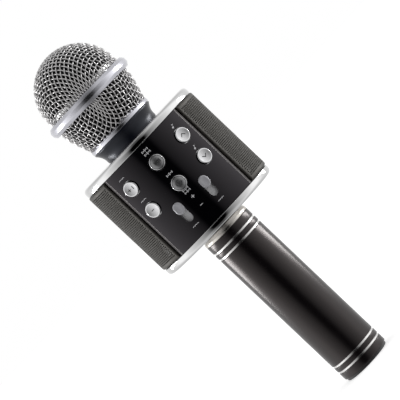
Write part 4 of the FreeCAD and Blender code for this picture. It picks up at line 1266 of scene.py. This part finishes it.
    def build_front_panel(self) -> None:
        """Build the front panel with its button holes and slider slots."""
        panel = self.panel_blank("front_gloss_panel", True)
        tools = [self.hole_tool(f"{name}_hole", self.place_of(name), self.button_hole)
                 for name in Controls.BUTTONS]
        tools += [self.slot_tool(f"{side}_slot",
                                 self.place_of(f"{side}_slider_knob", -self.slider_half_travel),
                                 self.slot_half, self.slot_length) for side in ("left", "right")]
        self.cut(panel, tools)
        self.settle_normals(panel, True)
        carry(panel, self.body, "panel_black", "front_panel")

    def turn_of(self, middle: np.ndarray) -> float:
        """Return the turn of a piece on the front face, in degrees from the centre line."""
        return math.degrees(math.atan2(middle[0], self.plan.front_centre - middle[1]))

    def place_of(self, node: str, shift: float = 0.0) -> Matrix:
        """Return the placing of a CAD node on the front face.

        Args:
            node: The CAD node.
            shift: How far above the node's middle the placing is.

        Returns:
            The placing, as front_place gives it.
        """
        middle = middle_of(node)
        return self.front_place(self.turn_of(middle), middle[2] + shift)

    def build_rear_panel(self) -> None:
        """Build the rear panel with the ways to its sockets, lamp and switch."""
        panel = self.panel_blank("rear_gloss_panel", False)
        tools = []
        margin, start = 0.3, 20.0
        for node in ("usb_socket", "charging_socket", "memory_card_slot"):
            low, high = mm_box(node)
            tools.append(block_tool(f"{node}_way", low - margin, high + margin, start))
        low, high = mm_box("power_switch_knob")
        low[0], high[0] = -3.6, 3.6
        tools.append(block_tool("power_way", low - (0, 0, margin), high + (0, 0, margin), start))
        for node, radius in (("headphone_jack", 3.3), ("indicator_lamp", 1.3)):
            section = [(0.0, 0.0, 0), (radius, 0.0, 0), (radius, 30.0, 0), (0.0, 30.0, 0)]
            tool = lathe(f"{node}_way", section, [PANEL_GLOSS], 48)
            tool.data.transform(Matrix.Translation((0, 10 * MM, middle_of(node)[2] * MM))
                                @ Matrix.Rotation(-math.pi / 2, 4, "X"))
            tools.append(tool)
        self.cut(panel, tools)
        self.settle_normals(panel, False)
        carry(panel, self.body, "panel_black", "rear_panel")


def block_tool(name: str, low: np.ndarray, high: np.ndarray, start_y: float) -> bpy.types.Object:
    """Return a cutter block that runs out towards +Y.

    Args:
        name: The tool's name.
        low: The lowest corner.
        high: The highest corner.
        start_y: Where the block starts.

    Returns:
        The tool.
    """
    corners = ((low[0], low[2]), (high[0], low[2]), (high[0], high[2]), (low[0], high[2]))
    rings = [np.array([(x, y, z) for x, z in corners]) for y in (start_y, 40.0)]
    return skin_rings(name, rings, [PANEL_GLOSS], capped=True)


def pill_ring(half: float, end: float, height: float, steps: int) -> np.ndarray:
    """Return a ring with round ends, long in Y.

    Args:
        half: Half of its width.
        end: Half of its length.
        height: Its Z.
        steps: The spans in each round end.

    Returns:
        The ring's points.
    """
    straight = end - half
    points = []
    for sign in (1, -1):
        for step in range(steps + 1):
            angle = math.pi * step / steps + (0 if sign > 0 else math.pi)
            points.append((half * math.cos(angle), half * math.sin(angle) + sign * straight, height))
    return np.array(points)


# --- Controls ---------------------------------------------------------------------------------

Shape = list[Point]


def bar(x: float, y: float, wide: float, tall: float, lean: float = 0.0) -> Shape:
    """Return a bar.

    Args:
        x: The middle's place across.
        y: The middle's place upwards.
        wide: The width.
        tall: The height.
        lean: How many degrees it leans to the left.

    Returns:
        The outline.
    """
    turn = math.radians(lean)
    corners = [(-wide / 2, -tall / 2), (wide / 2, -tall / 2), (wide / 2, tall / 2), (-wide / 2, tall / 2)]
    return [(x + a * math.cos(turn) - b * math.sin(turn), y + a * math.sin(turn) + b * math.cos(turn))
            for a, b in corners]


def triangle(x: float, y: float, size: float, heading: float) -> Shape:
    """Return a triangle that points in a direction given in degrees."""
    return [(x + size * math.cos(math.radians(heading + a)), y + size * math.sin(math.radians(heading + a)))
            for a in (0, 120, 240)]


def ring_pieces(x: float, y: float, radius: float, line: float, start: float = 0, end: float = 360,
                steps: int = 16) -> list[Shape]:
    """Return the quads of a ring or of an open arc.

    Args:
        x: The centre's place across.
        y: The centre's place upwards.
        radius: The radius of the line's middle.
        line: The line's width.
        start: The start angle in degrees.
        end: The end angle in degrees.
        steps: The quads in the arc.

    Returns:
        The quads' outlines.
    """
    angles = np.radians(np.linspace(start, end, steps + 1))
    quads = []
    for a, b in zip(angles[:-1], angles[1:]):
        quads.append([(x + r * math.cos(t), y + r * math.sin(t))
                      for r, t in ((radius - line / 2, a), (radius + line / 2, a),
                                   (radius + line / 2, b), (radius - line / 2, b))])
    return quads


class Symbol(Enum):
    """The generic symbols on the caps and beside them."""

    PLUS_BAR = "plus_bar"
    MINUS = "minus"
    PLAY_PAUSE = "play_pause"
    LOOP = "loop"
    UP = "up"
    DOWN = "down"
    WAVES = "waves"
    NOTE = "note"
    DOTS = "dots"
    PLUS = "plus"

    def shapes(self) -> list[Shape]:
        """Return the symbol's filled outlines in millimetres, centred on its middle."""
        if self is Symbol.PLUS_BAR:
            return [bar(-0.9, 0, 1.5, 0.34), bar(-0.9, 0, 0.34, 1.5), bar(1.15, 0, 0.34, 1.7)]
        if self is Symbol.PLUS:
            return [bar(0, 0, 1.7, 0.32), bar(0, 0, 0.32, 1.7)]
        if self is Symbol.MINUS:
            return [bar(0, 0, 1.7, 0.34)]
        if self is Symbol.PLAY_PAUSE:
            return [triangle(-0.75, 0, 0.95, 0), bar(0.75, 0, 0.36, 1.5), bar(1.4, 0, 0.36, 1.5)]
        if self is Symbol.LOOP:
            return ring_pieces(0, 0, 1.25, 0.32, 60, 350) + [triangle(1.25, -0.15, 0.55, 100)]
        if self is Symbol.UP:
            return [bar(-0.55, 0.1, 0.34, 1.7, -45), bar(0.55, 0.1, 0.34, 1.7, 45)]
        if self is Symbol.DOWN:
            return [bar(-0.55, -0.1, 0.34, 1.7, 45), bar(0.55, -0.1, 0.34, 1.7, -45)]
        if self is Symbol.WAVES:
            return [quad for x in (-0.9, 0.0, 0.9)
                    for quad in ring_pieces(x, -0.5, 0.75, 0.2, 40, 140, 6)]
        if self is Symbol.NOTE:
            return ring_pieces(-0.4, -0.5, 0.22, 0.4, 0, 360, 10) + [bar(0.0, 0.15, 0.18, 1.3),
                                                                     bar(0.3, 0.7, 0.7, 0.24, -25)]
        heights = {-1.4: 0.9, -0.7: 0.5, 0.0: 1.1, 0.7: 0.5, 1.4: 0.9}
        return [bar(x, 0, 0.4, tall) for x, tall in heights.items()]


def emboss(name: str, shapes: Iterable[Shape], lift: Callable[[float, float], np.ndarray],
           finish: Finish, height: float = 0.05) -> bpy.types.Object:
    """Build thin raised symbols on a surface.

    Args:
        name: The object's name.
        shapes: Filled outlines in the surface's own plane.
        lift: Gives the point above (x, y) at a height of zero; its second row is the normal.
        finish: The print's finish.
        height: How far the print stands above the surface.

    Returns:
        The object.
    """
    vertices: list[np.ndarray] = []
    faces: list[tuple[int, ...]] = []
    for shape in shapes:
        base = len(vertices)
        count = len(shape)
        for level in (-0.04, height):
            for x, y in shape:
                spot, normal = lift(x, y)
                vertices.append(spot + normal * level)
        faces.append(tuple(range(base + count - 1, base - 1, -1)))
        faces.append(tuple(range(base + count, base + 2 * count)))
        for step in range(count):
            ahead = (step + 1) % count
            faces.append((base + step, base + ahead, base + count + ahead, base + count + step))
    return put_mesh(name, vertices, faces, [finish], sharp=20)


@dataclass
class Controls:
    """The six buttons, the two sliders, the rear switch and the print round them."""

    box: SpeakerBox
    radius: float = 4.5
    proud: float = 1.2
    dish: float = 0.6
    rim: float = 0.75
    flange: float = 5.6
    stem_end: float = -4.42

    BUTTONS = ("echo_up_button", "echo_down_button", "play_button", "mode_button", "next_button",
               "previous_button")
    CAPS = {
        "echo_up_button": Symbol.PLUS_BAR, "echo_down_button": Symbol.MINUS,
        "play_button": Symbol.PLAY_PAUSE, "mode_button": Symbol.LOOP,
        "next_button": Symbol.UP, "previous_button": Symbol.DOWN,
    }

    def build(self) -> None:
        """Build the buttons, sliders, rear knob and prints."""
        for name in self.BUTTONS:
            self.build_button(name)
        for side in ("left", "right"):
            self.build_slider(side)
        self.build_power_knob()
        self.build_prints()

    def build_button(self, name: str) -> None:
        """Build one button: a bright rim round a dished face with its symbol.

        Args:
            name: The CAD node and body of the button.
        """
        place = self.box.place_of(name)
        face = self.proud
        back = -2.4
        bowl_radius = self.radius - self.rim

        def bowl(share: float) -> float:
            """Return the dish's height at a share of its radius."""
            return face - self.dish + self.dish * 0.92 * share ** 2
        section = [(bowl_radius * k / 6, bowl(k / 6), int(k == 6)) for k in range(7)]
        section += rounded([
            Corner(bowl_radius + 0.12, face - 0.02, 0.0, 1),
            Corner(self.radius, face, 0.42, 1),
            Corner(self.radius, back, 0.0, 0),
            Corner(self.flange, back, 0.0, 0),
            Corner(self.flange, back - 0.7, 0.0, 0),
            Corner(2.0, back - 0.7, 0.0, 0),
            Corner(2.0, self.stem_end, 0.2, 0),
            Corner(0.0, self.stem_end, 0.0, 0),
        ], closed=False, steps=6)
        cap = lathe(f"{name}_cap", section, [BUTTON_SILVER, BUTTON_RIM], 72, sharp=28)
        cap.data.transform(place)
        carry(cap, name, "button_silver", name)

        def lift(x: float, y: float) -> tuple[np.ndarray, np.ndarray]:
            """Return the dish's point and normal under (x, y)."""
            spot = place @ (Vector((x, y, bowl(math.hypot(x, y) / bowl_radius))) * MM) / MM
            return np.array(spot), np.array(place.to_3x3() @ Vector((0, 0, 1)))
        shapes = [[(x * 1.4, y * 1.4) for x, y in shape] for shape in self.CAPS[name].shapes()]
        print_piece = emboss(f"{name}_symbol", shapes, lift, SYMBOL_DARK, 0.02)
        carry(outward(print_piece), name, "button_silver")

    def build_slider(self, side: str) -> None:
        """Build one slider knob: a pill with eased edges and a shallow dish, and its lever.

        Args:
            side: "left" or "right".
        """
        node = f"{side}_slider_knob"
        place = self.box.place_of(node)
        half, end = 2.9, 3.8
        rings = [pill_ring(half + grow, end + grow, height, 20)
                 for grow, height in ((0.0, 0.3), (0.0, 1.35), (-0.08, 1.62), (-0.26, 1.86), (-0.55, 1.97),
                                      (-1.2, 1.9), (-2.0, 1.82))]
        cap = skin_rings(f"{side}_slider_cap", rings, [SLIDER_SILVER], capped=True, sharp=40)
        cap.data.transform(place)
        carry(cap, f"{side}_slider", "slider_silver", node)
        lever_rings = [pill_ring(0.8, 1.7, height, 6) for height in (-3.1, 0.35)]
        lever = skin_rings(f"{side}_slider_lever", lever_rings, [FRAME_BLACK], capped=True)
        lever.data.transform(place)
        carry(lever, f"{side}_slider", "slider_silver")

    def build_power_knob(self) -> None:
        """Build the rear switch's knob with three grip ridges."""
        low, high = mm_box("power_switch_knob")
        gap, steps = 0.02, 36
        profile = [(low[0] + gap, low[1])]
        for step in range(steps + 1):
            share = step / steps
            ridge = 0.16 * abs(math.sin(3.5 * math.pi * share))
            ease = 0.35 * (2 * share - 1) ** 8
            across = low[0] + gap + (high[0] - low[0] - 2 * gap) * share
            profile.append((across, high[1] - 0.16 + ridge - ease))
        profile.append((high[0] - gap, low[1]))
        rings = [at_height(np.array(profile), z) for z in (low[2] + gap, high[2] - gap)]
        knob = skin_rings("power_knob_cap", rings, [SLIDER_SILVER], capped=True)
        carry(knob, "power_knob", "slider_silver", "power_switch_knob")

    def build_prints(self) -> None:
        """Build the small generic prints on the front panel."""
        box = self.box
        radius = box.plan.front_radius - box.panel_inset
        shapes: list[Shape] = []

        def add(symbol: Symbol, turn: float, height: float, size: float = 1.0) -> None:
            """Add a symbol at a turn and a height, in the unrolled plane of the face."""
            shift = math.radians(turn) * radius
            shapes.extend([[(x * size + shift, y * size + height) for x, y in shape]
                           for shape in symbol.shapes()])
        over = 7.4
        labels = {"echo_up_button": Symbol.WAVES, "echo_down_button": Symbol.WAVES,
                  "play_button": Symbol.DOTS, "mode_button": Symbol.DOTS,
                  "next_button": Symbol.NOTE, "previous_button": Symbol.NOTE}
        for name, symbol in labels.items():
            middle = middle_of(name)
            add(symbol, box.turn_of(middle), middle[2] + over, 1.4)
            if name == "play_button":
                add(symbol, box.turn_of(middle), middle[2] + over + 2.2, 1.4)
        knob_height = middle_of("left_slider_knob")[2]
        for symbol, turn, above, size in (
                (Symbol.PLUS, 0, -0.9, 1.3), (Symbol.MINUS, 0, -7.6, 1.1), (Symbol.DOTS, 0, 3.2, 1.3),
                (Symbol.DOTS, 0, 5.0, 1.3), (Symbol.WAVES, -13.4, -13.6, 1.5),
                (Symbol.WAVES, 12.6, -13.6, 1.5)):
            add(symbol, turn, knob_height + above, size)

        def lift(x: float, y: float) -> tuple[np.ndarray, np.ndarray]:
            """Return the front face's point and normal for a place on its unrolled plane."""
            turn = x / radius
            normal = np.array((math.sin(turn), -math.cos(turn), 0.0))
            return np.array((0, box.plan.front_centre, y)) + normal * radius, normal
        piece = outward(emboss("front_prints", shapes, lift, PRINT_PALE, 0.03))
        carry(piece, box.body, "panel_black")


# --- Handle, neck and the rest ----------------------------------------------------------------

@dataclass
class Handle:
    """The handle tube with its bright grooves, and the ferrule above it."""

    body: str = "case"
    wall: float = 1.75
    edge: float = 1.0
    groove_width: float = 1.4
    groove_depth: float = 0.5
    groove_margin: float = 5.75
    groove_pitch: float = 4.35

    def build(self) -> None:
        """Build the tube and the ferrule."""
        low, high = mm_box("handle_tube")
        radius = (high[0] - low[0]) / 2
        bottom, top = low[2], high[2]
        half = self.groove_width / 2
        corners = [Corner(radius - self.wall, bottom, 0.2), Corner(radius, bottom, self.edge)]
        for middle in (bottom + self.groove_margin, bottom + self.groove_margin + self.groove_pitch,
                       top - self.groove_margin - self.groove_pitch, top - self.groove_margin):
            corners += [
                Corner(radius, middle - half, 0.35),
                Corner(radius - self.groove_depth, middle - half + 0.1, 0.1, 1),
                Corner(radius - self.groove_depth, middle + half - 0.1, 0.1, 0),
                Corner(radius, middle + half, 0.35),
            ]
        corners += [Corner(radius, top, 0.3), Corner(radius - self.wall, top, 0.2)]
        tube = lathe("handle_skin", rounded(corners, steps=5), [HANDLE_BLACK, GROOVE_CUT], 160)
        carry(tube, self.body, "handle_black", "handle_tube")
        low, high = mm_box("ferrule")
        base = top
        corners = [Corner(8.0, low[2]), Corner(radius - self.wall - 0.08, low[2], 0.3),
                   Corner(radius - self.wall - 0.08, base), Corner(radius, base, 0.25),
                   Corner(radius, base + 1.6, 1.2), Corner(radius - 0.75, base + 3.2, 1.4),
                   Corner(14.1, high[2]), Corner(8.0, high[2])]
        carry(lathe("ferrule_collar", rounded(corners), [FERRULE], 144), self.body, "ferrule_metal",
              "ferrule")


@dataclass
class Neck:
    """The flared neck between the box and the head."""

    body: str = "case"
    waist: float = 19.4
    bore: float = 16.0
    spigot: float = 19.0
    spigot_height: float = 6.0

    def build(self) -> None:
        """Build the neck's flare and its spigot."""
        low, high = mm_box("neck_collar")
        top_radius = high[0]
        head = high[2] - self.spigot_height
        corners = [Corner(self.bore, low[2]), Corner(self.waist - 0.35, low[2]),
                   Corner(self.waist - 0.35, low[2] + 0.35, 0.0), Corner(self.waist, low[2] + 0.5, 0.1)]
        rise = head - 0.9 - (low[2] + 2.0)
        for step in range(13):
            share = step / 12
            corners.append(Corner(self.waist + (top_radius - self.waist) * share ** 2.1,
                                  low[2] + 2.0 + rise * share))
        corners += [Corner(top_radius, head, 0.35), Corner(self.spigot, head),
                    Corner(self.spigot, high[2], 0.3), Corner(self.bore, high[2], 0.2)]
        carry(lathe("neck_flare", rounded(corners), [NECK_GLOSS], 144), self.body, "neck_gloss",
              "neck_collar")


def both(*endings: str) -> tuple[str, ...]:
    """Return the left and the right node's name for each ending."""
    return tuple(f"{side}_{ending}" for ending in endings for side in ("left", "right"))


@dataclass
class Insides:
    """The CAD pieces that keep their own shape and only get a finish."""

    nodes: dict[Finish, tuple[str, ...]] = field(default_factory=lambda: {
        CAP_BLACK: ("end_cap",), CELL_WRAP: ("battery_cell",), BRASS: ("battery_contact",),
        LAMP: ("indicator_lamp",), RUBBER: ("capsule_cushion",), CAPSULE: ("microphone_capsule",),
        FRAME_BLACK: ("battery_sleeve", "inner_frame", "key_switches", "headphone_jack", "power_switch",
                      "capsule_holder", *both("speaker_frame", "speaker_baffle")),
        STEEL: ("battery_spring", "plate_screws", "usb_socket", "charging_socket", "memory_card_slot",
                "grille_hoop", *both("fader", "speaker_magnet")),
        BOARD_GREEN: ("main_board", "port_board", *both("key_board")),
        SHUTTER_SILVER: both("slider_shutter"), PAPER: both("speaker_cone"),
    })

    def dress(self) -> None:
        """Give every remaining CAD piece its finish."""
        for finish, names in self.nodes.items():
            for name in names:
                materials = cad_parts[name].data.materials
                materials.clear()
                materials.append(finish.material())
                LOG.info("%s: %s", name, finish.name)


# --- Studio -----------------------------------------------------------------------------------

@dataclass
class Studio:
    """The pale floor, the soft light from both sides and the camera."""

    distance: float = 1.545
    eye_height: float = 0.200
    aim: tuple[float, float, float] = (0.0012, 0.0, 0.1345)
    lens: float = 241.7
    lean: float = 136.56
    strength: float = 1.3
    fall_off: float = 0.5
    curtain: float = 0.2
    strip_distance: float = 1.1
    strip_bearing: float = 105.0
    strip_power: float = 3.0
    strip_height: float = 0.13

    BRIGHTNESS = {0.075: 0.0, 0.09: 0.06, 0.11: 0.14, 0.22: 0.41, 0.33: 0.67, 0.41: 0.92, 0.48: 0.95,
                  0.58: 0.74, 0.75: 0.64, 1.0: 0.72}

    def build(self) -> None:
        """Build the floor, world, lights and camera."""
        self.floor()
        self.world()
        self.lights()
        self.camera()

    def floor(self) -> None:
        """Lay the pale floor under the end cap, which takes it along when it comes off."""
        reach = 4000.0
        corners = [(x * reach, y * reach, 0) for x, y in ((-1, -1), (1, -1), (1, 1), (-1, 1))]
        laid = put_mesh("floor", corners, [(0, 1, 2, 3)], [FLOOR])
        tree = laid.data.materials[0].node_tree
        mix = add_node(tree, "MixShader", {
            "Fac": add_node(tree, "LightPath").outputs["Is Camera Ray"],
            1: add_node(tree, "BsdfTransparent").outputs[0],
            2: tree.nodes["Principled BSDF"].outputs[0]})
        feed(tree, mix.outputs[0], tree.nodes["Material Output"].inputs["Surface"])
        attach(laid, "cap")

    def world(self) -> None:
        """Make a soft tent of light: dark behind the viewer, brightest at both sides."""
        world = bpy.data.worlds.new("tent")
        bpy.context.scene.world = world
        world.use_nodes = True
        tree = world.node_tree
        tree.nodes.clear()
        place = add_node(tree, "TexCoord").outputs["Generated"]
        x, y, z = add_node(tree, "SeparateXYZ", {0: place}).outputs
        ahead = maths(tree, "MULTIPLY", y, -1.0)
        share = maths(tree, "DIVIDE", maths(tree, "ARCCOSINE", ahead), math.pi)
        ramp = add_node(tree, "ValToRGB", {0: share})
        points = ramp.color_ramp.elements
        while len(points) < len(self.BRIGHTNESS):
            points.new(0.5)
        for point, (position, value) in zip(points, self.BRIGHTNESS.items()):
            point.position, point.color = position, (value, value, value, 1)
        square = maths(tree, "POWER", maths(tree, "ABSOLUTE", z), 2.0)
        dim = maths(tree, "MULTIPLY_ADD", square, -self.fall_off * self.strength, self.strength)
        width = maths(tree, "ABSOLUTE", x)
        edges = [add_node(tree, "MapRange", {"Value": value, "From Min": start, "From Max": end},
                          interpolation_type="SMOOTHSTEP").outputs["Result"]
                 for value, start, end in ((width, 0.06, 0.40), (ahead, 0.30, 0.0))]
        shade = add_node(tree, "MapRange", {"Value": maths(tree, "MAXIMUM", *edges),
                                            "To Min": self.curtain}).outputs["Result"]
        light = add_node(tree, "Background", {"Color": ramp.outputs["Color"],
                                              "Strength": maths(tree, "MULTIPLY", dim, shade)})
        seen = add_node(tree, "Background", {"Color": (1, 1, 1, 1)})
        mix = add_node(tree, "MixShader", {
            "Fac": add_node(tree, "LightPath").outputs["Is Camera Ray"],
            1: light.outputs[0], 2: seen.outputs[0]})
        add_node(tree, "OutputWorld", {"Surface": mix.outputs[0]})

    def lights(self) -> None:
        """Hang a small soft strip on each side, level with the neck."""
        for name, side in (("left_strip", -1), ("right_strip", 1)):
            lamp = bpy.data.lights.new(name, "AREA")
            lamp.shape = "RECTANGLE"
            lamp.size, lamp.size_y = 0.115, 0.6
            lamp.energy = self.strip_power
            holder = bpy.data.objects.new(name, lamp)
            bpy.context.scene.collection.objects.link(holder)
            bearing = math.radians(self.strip_bearing)
            holder.location = (side * self.strip_distance * math.sin(bearing),
                               -self.strip_distance * math.cos(bearing), self.strip_height)
            aim = Vector((0, 0, self.strip_height)) - holder.location
            holder.rotation_euler = aim.to_track_quat("-Z", "Z").to_euler()

    def camera(self) -> None:
        """Set the camera: level with the box and rolled, so that the microphone leans."""
        data = bpy.data.cameras.new("viewer")
        data.lens, data.sensor_width, data.clip_end = self.lens, 36.0, 100.0
        viewer = bpy.data.objects.new("viewer", data)
        bpy.context.scene.collection.objects.link(viewer)
        eye = Vector((self.aim[0], -self.distance, self.eye_height))
        look = (Vector(self.aim) - eye).normalized()
        right0 = look.cross(Vector((0, 0, 1))).normalized()
        up0 = right0.cross(look)
        turn = math.radians(self.lean - 90)
        right = right0 * math.cos(turn) - up0 * math.sin(turn)
        up = right0 * math.sin(turn) + up0 * math.cos(turn)
        basis = Matrix((right, up, -look)).transposed().to_4x4()
        viewer.matrix_world = Matrix.Translation(eye) @ basis
        bpy.context.scene.camera = viewer
        bpy.context.scene.view_settings.view_transform = "Standard"


def main() -> None:
    """Build the microphone's looks, piece by piece, and the studio round it."""
    logging.basicConfig(level=logging.INFO, format="%(message)s")
    Studio().build()
    Insides().dress()
    box = SpeakerBox()
    box.build()
    Controls(box).build()
    Handle().build()
    Neck().build()
    Grille().build()


if __name__ == "__main__":
    main()
